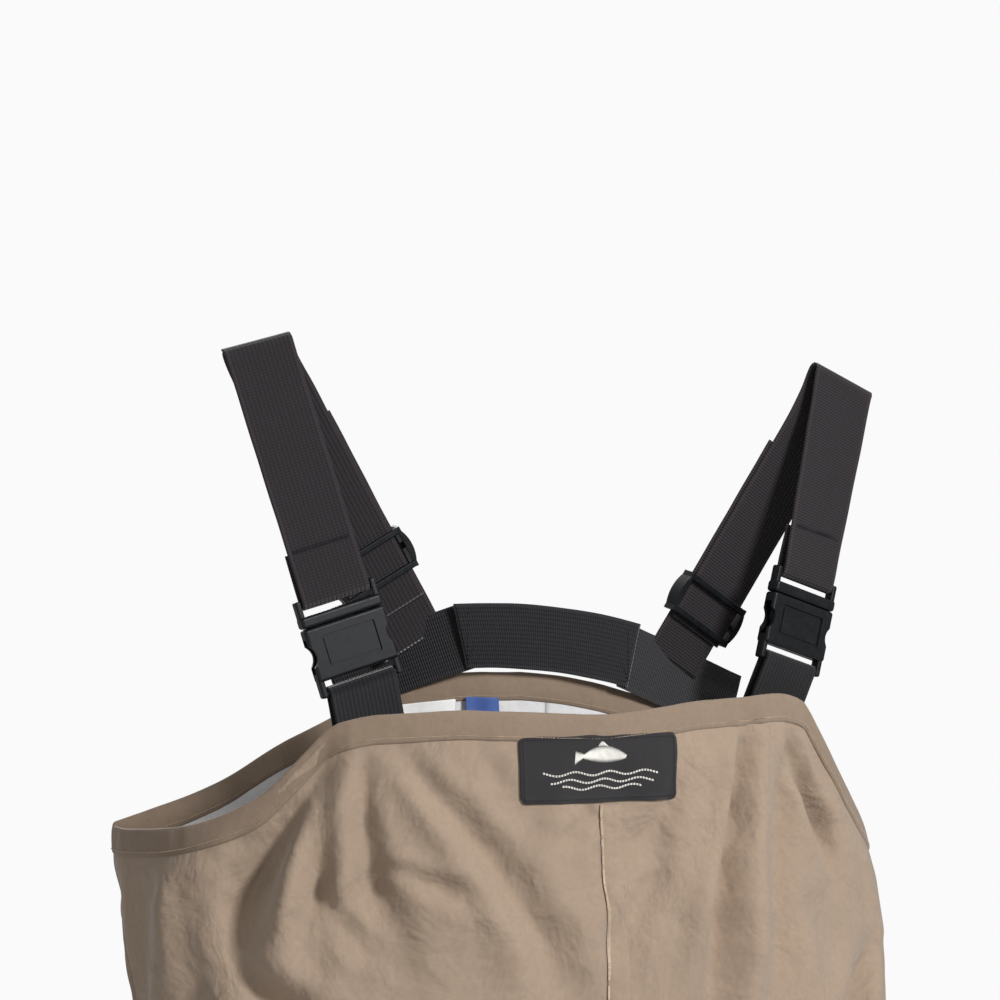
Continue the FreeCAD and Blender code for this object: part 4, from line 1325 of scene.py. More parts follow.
@dataclass
class Suspenders:
    """Front and rear elastic straps, their tabs, and the routes round the bars."""

    bend_radius: float = 0.0034
    bar_radius: float = 0.0026
    bar_room: float = 0.0003
    thickness: float = 0.0018
    socket_length: float = 0.037
    plug_length: float = 0.008
    slot_length: float = 0.006
    seam_gap: float = 0.0003
    layer_gap: float = 0.0004
    tab_inside: float = 0.016
    shoulder: dict[Side, Vector] = pair((-0.220, 0, 0.006), (0.231, 0, -0.012))
    bend_width: dict[Side, Vector] = pair((0.966, 0, 0.26), (0.905, 0, -0.425))
    front_foot: dict[Side, Vector] = pair((-0.146, -0.026, -0.247), (0.169, -0.024, -0.234))
    front_width: dict[Side, Vector] = pair((0.97, 0, 0.242), (0.93, 0.25, -0.29))
    mouth_share: dict[Side, float] = field(default_factory=lambda: {Side.LEFT: 0.72, Side.RIGHT: 0.71})
    rear_foot: dict[Side, Vector] = pair((-0.104, 0.017, -0.190), (0.112, 0.021, -0.207))
    rear_width: dict[Side, Vector] = pair((0.86, -0.06, 0.51), (0.84, 0.22, -0.49))

    def front_frame(self, side: Side) -> tuple[Vector, Vector, Vector, Vector]:
        """Foot, head, width direction and outward face of a front strap's straight run."""
        foot = self.front_foot[side]
        head = self.shoulder[side] + Vector((0, -self.bend_radius - self.thickness / 2, 0))
        across, normal = straight_frame(head - foot, self.front_width[side])
        return foot, head, across, normal if normal.y < 0 else -normal

    def mouth(self, side: Side) -> tuple[Vector, Vector, Vector, Vector]:
        """Middle of a shoulder buckle's mouth, its upward, width and outward directions."""
        foot, head, across, normal = self.front_frame(side)
        return head.lerp(foot, self.mouth_share[side]), unit(head - foot), across, normal

    def bend(self, side: Side, start: Vector, towards: Vector) -> list[Station]:
        """A quarter turn over the shoulder."""
        across = self.bend_width[side]
        angle = 90 * spin_sign(across, start, towards)
        return turned(self.shoulder[side], across, start, self.bend_radius + self.thickness / 2, angle, 6)

    def front_strap(self, side: Side) -> list[Station]:
        """Route from behind the plug's bar, round it and up to the shoulder bend."""
        mouth, along, across, normal = self.mouth(side)
        head = self.front_frame(side)[1]
        bar = mouth + along * (self.plug_length + self.slot_length + self.bar_radius + self.seam_gap)
        radius = self.bar_radius + self.bar_room + self.thickness / 2
        stations = [Station(bar + along * 0.034 - normal * radius * 0.8, across, -normal),
                    Station(bar + along * 0.017 - normal * radius, across, -normal)]
        stations += turned(bar, across, -normal, radius, 180 * spin_sign(across, -normal, -along), 10)
        foot = bar + normal * radius
        for share in (0.15, 0.3, 0.6, 0.85):
            stations.append(Station(foot.lerp(head, share), mixed(across, self.bend_width[side], share),
                                    mixed(normal, Vector((0, -1, 0)), share)))
        return stations + self.bend(side, Vector((0, -1, 0)), Vector((0, 0, 1)))

    def tab(self, side: Side) -> list[Station]:
        """Route of the short tab: from inside the bib, up round the socket's bar and down behind."""
        mouth, along, across, normal = self.mouth(side)
        radius = self.bar_radius + self.bar_room + self.thickness / 2
        low = mouth - along * (self.socket_length + self.slot_length + self.bar_radius)
        inside = self.front_frame(side)[0] - along * 0.040 + Vector((0, self.tab_inside, 0))
        stations = [Station(inside.lerp(low + normal * radius, t), across, normal) for t in (0.0, 0.35, 0.7, 0.92)]
        stations += turned(low, across, normal, radius, 180 * spin_sign(across, normal, along), 10)
        behind = low - normal * radius
        return stations + [Station(behind.lerp(inside - normal * 2 * radius, t), across, -normal)
                           for t in (0.3, 0.5, 0.8)]

    def rear_frame(self, side: Side) -> tuple[Vector, Vector, Vector, Vector]:
        """Foot, head, width direction and forward face of a rear strap's straight run."""
        head = self.shoulder[side] + Vector((0, self.bend_radius + self.thickness / 2, 0))
        foot = self.rear_foot[side]
        across, normal = straight_frame(head - foot, self.rear_width[side])
        return foot, head, across, normal if normal.y < 0 else -normal

    def rear_strap(self, side: Side) -> list[Station]:
        """Route of the main layer of a rear strap."""
        foot, head, across, normal = self.rear_frame(side)
        wide = self.bend_width[side]
        stations = self.bend(side, Vector((0, 0, 1)), Vector((0, 1, 0)))
        for share in (0.93, 0.80):
            turn_share = max(0.0, share - 0.8) / 0.2
            stations.append(Station(foot.lerp(head, share), mixed(across, wide, turn_share),
                                    mixed(-normal, Vector((0, 1, 0)), turn_share)))
        return stations + [Station(foot.lerp(head, share), across, -normal) for share in (0.5, 0.25, 0.08)]

    def rear_return(self, side: Side) -> list[Station]:
        """Route of the layer that comes back from the slider to the band."""
        foot, head, across, normal = self.rear_frame(side)
        sideways = 0.002 * side.value
        shift = -normal * (self.thickness + self.layer_gap) - across * sideways
        return [Station(foot.lerp(head, share) + shift, across, -normal) for share in (0.72, 0.4, 0.15, -0.04)]

    def build(self, finishes: Finishes) -> None:
        """Makes every strap and tab."""
        webbing = Ribbon()
        for side in Side:
            word = side.word
            strap = webbing.make(f"{word}_front_strap", self.front_strap(side), seed=3.0 + side.value)
            dress(strap, "", "elastic_webbing", finishes.elastic)
            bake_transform(strap)
            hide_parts(f"{word}_front_strap")
            for name, route, slot, finish in (
                    ("buckle_tab", self.tab(side), "nylon_webbing", finishes.nylon),
                    ("rear_strap", self.rear_strap(side), "elastic_webbing", finishes.elastic),
                    ("rear_strap_return", self.rear_return(side), "elastic_webbing", finishes.elastic)):
                piece = webbing.make(f"{word}_{name}", route, seed=5.0 + side.value)
                dress(piece, ROOT, slot, finish, replaces=f"{word}_{name}")
            self.tack(side, finishes)
            log.info("%s suspender", word)

    def tack(self, side: Side, finishes: Finishes) -> None:
        """Bar tacks that hold the front strap's loop shut above the buckle."""
        mouth, along, across, normal = self.mouth(side)
        middle = mouth + along * 0.052 + normal * 0.0048
        rows = [middle + across * (k * 0.0012) for k in range(-17, 18)]
        starts = np.array([row - along * 0.0016 for row in rows])
        ends = np.array([row + along * 0.0016 for row in rows])
        piece = thread_piece(f"{side.word}_strap_tack", starts, ends, np.tile(np.array(normal), (len(rows), 1)),
                             0.0003, finishes.dark_thread, "elastic_webbing")
        piece.parent = None
        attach(piece, f"{side.word}_buckle_plug")


@dataclass
class BackBand:
    """The band across the back and the two pieces that carry it down to the back hem."""

    width: float = 0.046
    rise: float = 0.005
    end: dict[Side, Vector] = pair((-0.068, 0.006, -0.191), (0.066, 0.006, -0.207))
    foot: dict[Side, Vector] = pair((-0.150, 0.041, -0.223), (0.166, 0.044, -0.247))

    def build(self, finishes: Finishes) -> None:
        """Makes the band, its ends and their box stitches."""
        left, right = self.end[Side.LEFT], self.end[Side.RIGHT]
        stations = []
        for i in range(9):
            share = i / 8
            lean = (share - 0.5) * 2
            bow = 1 - lean * lean
            middle = left.lerp(right, share) + Vector((0, -0.003 * bow, self.rise * bow))
            stations.append(Station(middle, Vector((0.23 * lean, 0, 1)), Vector((0, -1, 0))))
        band = Ribbon(width=self.width, wave=0.0007).make("back_band", stations, seed=11.0)
        dress(band, ROOT, "nylon_webbing", finishes.band, replaces="back_band")
        for side in Side:
            start = self.end[side] + Vector((side.value * -0.006, 0.0024, 0))
            height, normal = straight_frame(self.foot[side] - start, Vector((0, 0, 1)))
            stations = [Station(start.lerp(self.foot[side], share), height, normal)
                        for share in (0.0, 0.33, 0.66, 1.0)]
            name = f"{side.word}_band_anchor"
            piece = Ribbon(width=self.width).make(name, stations, seed=13.0 + side.value)
            dress(piece, ROOT, "nylon_webbing", finishes.band, replaces=name)
            self.box_stitch(side, finishes)
        log.info("back band")

    def box_stitch(self, side: Side, finishes: Finishes) -> None:
        """A box with a cross of stitches where the band meets its end piece."""
        middle = self.end[side] + Vector((side.value * -0.012, -0.0016, 0))
        corners = [middle + Vector((x, 0, z)) for x, z in
                   ((-0.007, -0.018), (0.007, -0.018), (0.007, 0.018), (-0.007, 0.018), (-0.007, -0.018),
                    (0.007, 0.018), (0.007, -0.018), (-0.007, 0.018))]
        line = np.array([tuple(c) for c in corners])
        face = np.tile(np.array([0.0, -1.0, 0.0]), (len(line), 1))
        starts, ends, outward = run_of_stitches(line, face, 0.0026)
        thread_piece(f"{side.word}_band_box_stitch", starts, ends, outward, 0.00025, finishes.dark_thread,
                     "nylon_webbing")


@dataclass
class Belt:
    """The wading belt: webbing round the waist, its two ends at the buckle, and the loops that hold it."""

    width: float = 0.050
    thickness: float = 0.0018
    clear: float = 0.0016
    bar_radius: float = 0.0026
    slot_length: float = 0.006
    mouth_x: float = 0.004

    def outside(self, u: float, face: Face, grow: float) -> Vector:
        """A point outside the trunk at the waist."""
        place = trunk_surface(np.array([WAIST_Z]), np.array([u]), face)[0]
        half = 0.262
        reach = 1 + (self.clear + grow) / half
        side_y, middle = 0.016, float(place[1]) - 0.016
        depth = abs(middle)
        y = side_y + middle * (1 + (self.clear + grow) / max(depth, 0.02)) if depth > 0.004 else float(place[1])
        return Vector((float(place[0]) * reach, y, WAIST_Z))

    def waist_path(self, start_x: float, end_x: float) -> list[Station]:
        """Stations from the sewn end round the left side and the back to the right front."""
        half = 0.262
        grow = self.thickness / 2
        left = np.linspace(math.asin(start_x / half), -math.pi / 2, 16)[:-1]
        back = np.linspace(-math.pi / 2, math.pi / 2, 30)
        right = np.linspace(math.pi / 2, math.asin(end_x / half), 14)[1:]
        places = [(math.sin(a), Face.FRONT) for a in left] + [(math.sin(a), Face.BACK) for a in back] + [
            (math.sin(a), Face.FRONT) for a in right]
        points = np.array([tuple(self.outside(u, face, grow)) for u, face in places])
        smooth = points.copy()
        smooth[1:-1] = (points[:-2] + 2 * points[1:-1] + points[2:]) / 4
        points = resample(smooth, 0.012)
        along = np.gradient(points, axis=0)
        up = Vector((0, 0, 1))
        return [Station(Vector(p), up, Vector((t[1], -t[0], 0)) * -1.0) for p, t in zip(points, along)]

    def loop_end(self, sign: int, bar_x: float, inner: Sequence[tuple[float, float]],
                 outer: Sequence[tuple[float, float]]) -> list[Station]:
        """Webbing that comes in behind a buckle bar, turns round it and goes back over the outside.

        Args:
            sign: 1 when it comes from the right, -1 from the left.
            bar_x: the bar's X.
            inner: distance from the bar and height above the trunk of each place behind the bar.
            outer: the same over the outside.

        Returns:
            The stations.
        """
        up = Vector((0, 0, 1))
        radius = self.bar_radius + 0.0003 + self.thickness / 2
        bar = Vector((bar_x, self.buckle_y(), WAIST_Z))
        half = 0.2636
        stations = []
        for reach, lift in inner:
            x = bar_x + sign * reach
            y = self.outside(x / half, Face.FRONT, self.thickness / 2 + lift).y
            stations.append(Station(Vector((x, y, WAIST_Z)), up, Vector((0, 1, 0))))
        stations += turned(bar, up, Vector((0, 1, 0)), radius, 180 * sign, 10)
        for reach, lift in outer:
            x = bar_x + sign * reach
            y = self.outside(x / half, Face.FRONT, self.thickness * 1.5 + lift).y
            stations.append(Station(Vector((x, y, WAIST_Z)), up, Vector((0, -1, 0))))
        return stations

    def buckle_y(self) -> float:
        """Y of the belt buckle's middle."""
        low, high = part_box("belt_buckle_socket")
        return (low[1] + high[1]) / 2

    def build(self, garment: Garment, finishes: Finishes) -> None:
        """Makes the belt's webbing, its ends and its loops."""
        sewn = self.mouth_x - 0.037 - self.slot_length - self.bar_radius
        free = self.mouth_x + 0.008 + self.slot_length + self.bar_radius + 0.0003
        webbing = Ribbon()
        routes = {
            "belt_webbing": (self.waist_path(sewn - 0.029, 0.054), ROOT),
            "belt_sewn_end": (self.loop_end(-1, sewn, [(0.0285, 0.0), (0.012, 0.0012)], [
                (0.014, 0.003), (0.034, 0.0003), (0.050, 0.0003)]), ROOT),
            "belt_end": (self.loop_end(1, free, [(0.018, 0.0024), (0.009, 0.0022)], [(0.014, 0.004)] + [
                (reach * 0.001, 0.0012) for reach in range(32, 120, 12)]), "belt_buckle_plug"),
        }
        for name, (route, body) in routes.items():
            piece = webbing.make(name, route, seed=len(name))
            dress(piece, body, "nylon_webbing", finishes.nylon, replaces=name)
        self.loops(finishes)
        log.info("belt")

    def loops(self, finishes: Finishes) -> None:
        """The four cloth loops, as one piece."""
        meshes_points, meshes_faces, uvs = [], [], []
        start = 0
        for u, face in ((-0.66, Face.FRONT), (0.66, Face.FRONT), (-0.45, Face.BACK), (0.45, Face.BACK)):
            route = [(-0.032, 0.0), (-0.0285, 0.0016), (-0.0262, 0.0040), (-0.018, 0.0046), (0.0, 0.0047),
                     (0.018, 0.0046), (0.0262, 0.0040), (0.0285, 0.0016), (0.032, 0.0)]
            rows = []
            for thick in (0.0, 0.0012):
                for dz, off in route:
                    for v in np.linspace(-0.042, 0.042, 7):
                        point = self.outside(u + v, face, off + thick - self.clear)
                        rows.append((point.x, point.y, WAIST_Z + dz * (1 + 0.02 * thick / 0.0012)))
                        uvs.append((v * 0.262, dz))
            meshes_points += rows
            long, wide = len(route), 7
            outer = start + long * wide
            for layer, flip in ((start, face is Face.FRONT), (outer, face is Face.BACK)):
                meshes_faces += [f if flip else f[::-1] for f in grid_faces(long, wide, start=layer)]
            ring = [c for c in range(wide)] + [r * wide + wide - 1 for r in range(1, long)] + [
                (long - 1) * wide + c for c in range(wide - 2, -1, -1)] + [r * wide for r in range(long - 2, 0, -1)]
            for a, b in zip(ring, ring[1:] + ring[:1]):
                meshes_faces.append((start + a, start + b, outer + b, outer + a))
            start += 2 * long * wide
        piece = make_piece("belt_loops", np.array(meshes_points), meshes_faces, uv=np.array(uvs))
        add_modifier(piece, "BEVEL", width=0.0005, segments=2)
        baked_mesh(piece)
        # The loops take the hem's cloth, whose darker colour is partly painted shade.
        dress(piece, ROOT, "loop_cloth", finishes.hem, replaces="belt_loops")


# ---- labels ----

@dataclass
class ChestLabel:
    """The woven label on the chest, with a stitched border and a fish over waves."""

    width: float = 0.118
    height: float = 0.046
    middle_z: float = -0.279
    lift: float = 0.0014
    thread: float = 0.0003

    def on_label(self, x: Array, y: Array, garment: Garment, lift: float
                 ) -> tuple[Array, Array]:
        """Places of points of the label, given from its middle, on the cloth."""
        return garment.surface.lay_from_front(x, self.middle_z + y, -0.2, lift)

    def patch(self, garment: Garment, finishes: Finishes) -> None:
        """The label's woven ground, with rounded corners and a turned edge."""
        columns, rows = 60, 26
        u, v = np.meshgrid(np.linspace(-1, 1, columns), np.linspace(-1, 1, rows))
        corner = 0.004
        x = u * self.width / 2
        pinch = np.clip(np.abs(u) * self.width / 2 - (self.width / 2 - corner), 0, corner) / corner
        y = v * (self.height / 2 - corner * (1 - np.sqrt(np.maximum(0, 1 - pinch ** 2))))
        rim = np.minimum((1 - np.abs(u)) * self.width / 2, (1 - np.abs(v)) * self.height / 2)
        puff = 0.0005 * np.exp(-((rim - 0.0022) / 0.0016) ** 2)
        points, normals = self.on_label(x.ravel(), y.ravel(), garment, self.lift)
        grid = points.reshape(rows, columns, 3)
        for _ in range(6):
            grid[1:-1, 1:-1] = (grid[:-2, 1:-1] + grid[2:, 1:-1] + grid[1:-1, :-2] + grid[1:-1, 2:]) / 4
        points = grid.reshape(-1, 3) + normals * puff.reshape(-1, 1)
        piece = make_piece("chest_label", points, grid_faces(rows, columns),
                           uv=np.stack([x.ravel(), y.ravel()], axis=1))
        add_modifier(piece, "SOLIDIFY", thickness=0.0013, offset=-1.0)
        add_modifier(piece, "BEVEL", width=0.0004, segments=2)
        baked_mesh(piece)
        dress(piece, ROOT, "label_cloth", finishes.label, replaces="chest_label")
        faces = [tuple(p.vertices) for p in piece.data.polygons]
        self.ground = ClothSurface(vertex_array(piece), faces)

    def sew(self, name: str, segments: Sequence[tuple[float, float, float, float]], finish: Material,
            lift: float = 0.00015) -> None:
        """Stitches on the label, each from one place to another, measured from its middle."""
        table = np.array(segments)
        starts, normals = self.ground.lay_from_front(table[:, 0], self.middle_z + table[:, 1], -0.2, lift)
        ends, _ = self.ground.lay_from_front(table[:, 2], self.middle_z + table[:, 3], -0.2, lift)
        thread_piece(name, starts, ends, normals, self.thread, finish, "label_cloth")

    def border(self) -> list[tuple[float, float, float, float]]:
        """Short stitches all round, just inside the edge."""
        w, h = self.width / 2 - 0.0026, self.height / 2 - 0.0026
        corners = [(-w, -h), (w, -h), (w, h), (-w, h), (-w, -h)]
        segments = []
        for (ax, ay), (bx, by) in zip(corners, corners[1:]):
            count = int(math.dist((ax, ay), (bx, by)) / 0.0024)
            for k in range(count):
                a, b = (k + 0.15) / count, (k + 0.85) / count
                segments.append((ax + (bx - ax) * a, ay + (by - ay) * a, ax + (bx - ax) * b, ay + (by - ay) * b))
        return segments

    def fish(self) -> list[tuple[float, float, float, float]]:
        """Satin stitches that fill a leaping fish."""
        segments = []
        for x in np.arange(-0.019, 0.0192, 0.00062):
            share = (x + 0.019) / 0.038
            spine = 0.0075 + 0.0022 * math.sin(math.pi * share)
            if share < 0.16:
                half = 0.0046 - 0.020 * share
            else:
                t = (share - 0.16) / 0.84
                half = 0.0014 + 0.0042 * math.sin(math.pi * min(1.0, t * 1.02)) ** 0.8
            half = max(half, 0.0006)
            segments.append((x - 0.0006, spine - half, x + 0.0006, spine + half))
            if 0.48 < share < 0.66:
                fin = 0.0032 * math.sin(math.pi * (share - 0.48) / 0.18)
                segments.append((x, spine + half, x - 0.0012, spine + half + fin))
        return segments

    def waves(self) -> list[tuple[float, float, float, float]]:
        """Three rows of running stitches in long waves."""
        segments = []
        for row, (reach, low) in enumerate(((0.043, -0.0035), (0.038, -0.0085), (0.030, -0.0130))):
            xs = np.arange(-reach, reach, 0.0021)
            for x in xs:
                a, b = x, x + 0.00175
                ya = low + 0.0013 * math.sin(a / 0.0042 + row)
                yb = low + 0.0013 * math.sin(b / 0.0042 + row)
                segments.append((a, ya, b, yb))
                segments.append((a, ya + 0.0007, b, yb + 0.0007))
        return segments

    def build(self, garment: Garment, finishes: Finishes) -> None:
        """Makes the label and sews its motif."""
        self.patch(garment, finishes)
        self.sew("chest_label_border", self.border(), finishes.dark_thread)
        self.sew("chest_label_fish", self.fish(), finishes.motif)
        self.sew("chest_label_waves", self.waves(), finishes.motif)
        log.info("chest label")


@dataclass
class InnerLabels:
    """The two small woven labels sewn under the back hem, on the inside."""

    start_y: float = -0.045

    def flap(self, name: str, x: float, z: float, width: float, height: float, lean: float, garment: Garment,
             finish: Material, split: Material | None = None) -> Piece:
        """One label, held along its top and standing a little off at its foot.

        Args:
            name: the piece's name.
            x: its middle.
            z: its top.
            width: its width.
            height: its height.
            lean: how far its right end is higher.
            garment: the finished garment.
            finish: its finish.
            split: a second finish for its lower half.

        Returns:
            The label.
        """
        columns, rows = 16, 12
        u, v = np.meshgrid(np.linspace(-0.5, 0.5, columns), np.linspace(0, 1, rows))
        px = x + u * width + lean * (v - 0.5) * -height
        pz = z - v * height + lean * u * width
        points, normals = garment.surface.lay_from_front(px.ravel(), pz.ravel(), self.start_y, 0.0042)
        lift = (0.0035 * v ** 2 + 0.0008 * np.sin(u * 7)).reshape(-1, 1)
        piece = make_piece(name, points + normals * lift, grid_faces(rows, columns),
                           uv=np.stack([u.ravel() * width, v.ravel() * height], axis=1))
        add_modifier(piece, "SOLIDIFY", thickness=0.0005, offset=0.0)
        add_modifier(piece, "SUBSURF", levels=1, render_levels=1)
        piece.data.materials.append(finish)
        if split is not None:
            piece.data.materials.append(split)
            for number, face in enumerate(piece.data.polygons):
                face.material_index = 1 if number // (columns - 1) >= rows // 2 else 0
        baked_mesh(piece)
        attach(piece, ROOT)
        return piece

    def build(self, garment: Garment, finishes: Finishes) -> None:
        """Makes both labels."""
        care = self.flap("size_label", -0.089, -0.2370, 0.044, 0.024, 0.10, garment, finishes.satin)
        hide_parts("inner_labels")
        self.flap("colour_tag", -0.047, -0.2340, 0.024, 0.026, -0.05, garment, finishes.blue, finishes.red)
        log.info("inner labels")


# ---- ankles and feet ----

@dataclass
class AnkleCuffs:
    """The gravel guard over each ankle, gathered on an elastic at its foot."""

    top: float = -1.385
    foot: float = -1.562
    elastic_height: float = 0.014

    def ring(self, garment: Garment, side: Side, z: float, grow: float, count: int = 144) -> Array:
        """Points round the cuff at height z."""
        flare = 0.003 + 0.009 * (self.top - z) / (self.top - self.foot)
        base = garment.leg_ring(max(z, BOOTIE_TOP_Z + 0.0005), side)[::-side.value]
        middle = np.array([side.value * LEG_X, 0.0, 0.0])
        loop = resample(np.concatenate([base, base[:1]]), 0.002)[:-1]
        at = np.linspace(0, len(loop), count, endpoint=False)
        pts = np.stack([np.interp(at, np.arange(len(loop) + 1), np.append(loop[:, k], loop[0, k]))
                        for k in range(3)], axis=1)
        out = pts - middle
        out[:, 2] = 0
        out = unit_rows(out)
        pts = pts + out * (flare + grow)
        pts[:, 2] = z
        return pts

    def cuff(self, garment: Garment, side: Side, finishes: Finishes) -> None:
        """The cuff's cloth, smooth at its top seam and gathered towards its foot."""
        heights = np.linspace(self.top, self.foot + self.elastic_height - 0.001, 44)
        rows = []
        for z in heights:
            ring = self.ring(garment, side, float(z), 0.0004)
            share = (self.top - z) / (self.top - self.foot)
            bulge = 0.0022 * math.sin(math.pi * min(1.0, share * 1.05))
            phase = np.arange(len(ring)) / len(ring) * math.tau
            wobble = np.array([noise.noise(Vector((math.cos(a) * 1.6, math.sin(a) * 1.6, z / 0.07 + side.value * 4)))
                               for a in phase])
            gather = 0.0012 * share ** 3 * np.sin(phase * 44 + 2.2 * wobble)
            pinch = -0.0009 if share < 0.03 else 0.0
            out = ring - np.array([side.value * LEG_X, 0, z])
            out = unit_rows(out)
            rows.append(ring + out * (bulge * (0.7 + wobble) + gather + pinch)[:, None])
        points = np.stack(rows)
        count = points.shape[1]
        uv = np.stack(np.broadcast_arrays(np.arange(count)[None, :] * 0.0033, heights[:, None]), axis=-1)
        faces = [f[::-1] for f in grid_faces(len(rows), count, closed=True)]
        name = f"{side.word}_gravel_guard"
        piece = make_piece(name, points.reshape(-1, 3), faces, uv=uv.reshape(-1, 2))
        piece.data.materials.append(finishes.shell)
        piece.data.materials.append(finishes.lining)
        add_modifier(piece, "SOLIDIFY", thickness=0.0009, offset=-1.0, material_offset=1)
        subdivided(piece)
        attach(piece, ROOT)
        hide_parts(name)
        ring = self.ring(garment, side, self.top - 0.004, 0.0030)
        ring = np.concatenate([ring, ring[:1]])
        out = ring - np.array([side.value * LEG_X, 0, self.top - 0.004])
        out = unit_rows(out)
        starts, ends, normals = run_of_stitches(ring - out * 0.0008, out, 0.003)
        thread_piece(f"{side.word}_guard_stitches", starts, ends, normals, 0.00026, finishes.thread, "shell_cloth")

    def elastic(self, garment: Garment, side: Side, finishes: Finishes) -> None:
        """The elastic that grips the boot."""
        section = ((0.0, 0.0), (0.0006, 0.0010), (0.004, 0.0014), (0.010, 0.0014), (0.0134, 0.0010), (0.014, 0.0),
                   (0.0134, -0.0010), (0.010, -0.0014), (0.004, -0.0014), (0.0006, -0.0010))
        rows, uv = [], []
        for up, off in section:
            z = self.foot + up
            rows.append(self.ring(garment, side, z, off))
            uv.append([(up - 0.007, k * 0.0033) for k in range(len(rows[0]))])
        points = np.stack(rows, axis=1)
        phase = np.arange(len(points)) / len(points) * math.tau * 44
        out = points - np.array([side.value * LEG_X, 0, 0])
        out[..., 2] = 0
        out /= np.linalg.norm(out, axis=2, keepdims=True)
        points = points + out * (0.0006 * np.sin(phase))[:, None, None]
        count, around = points.shape[:2]
        faces = []
        for r in range(count):
            for c in range(around):
                n, d = (r + 1) % count, (c + 1) % around
                faces.append((r * around + c, r * around + d, n * around + d, n * around + c))
        places = np.transpose(np.array(uv), (1, 0, 2)).reshape(-1, 2)
        piece = make_piece(f"{side.word}_guard_elastic", points.reshape(-1, 3), faces, uv=places)
        dress(piece, ROOT, "elastic_webbing", finishes.elastic, replaces=f"{side.word}_guard_elastic")

    def build(self, garment: Garment, finishes: Finishes) -> None:
        """Makes both cuffs."""
        for side in Side:
            self.cuff(garment, side, finishes)
            self.elastic(garment, side, finishes)
            log.info("%s gravel guard", side.word)


# Y and Z of the middle, tilt in degrees, half width and half depth of each section of the foot.
FOOT_SECTIONS = (
    (0.000, -1.4701, 0.0, 0.083, 0.053), (0.001, -1.530, 4.0, 0.068, 0.056), (0.000, -1.590, 14.0, 0.058, 0.062),
    (-0.014, -1.636, 38.0, 0.052, 0.066), (-0.056, -1.668, 62.0, 0.050, 0.046), (-0.112, -1.696, 66.0, 0.052, 0.038),
    (-0.168, -1.722, 68.0, 0.050, 0.028), (-0.204, -1.739, 70.0, 0.038, 0.020), (-0.218, -1.746, 70.0, 0.020, 0.011),
)


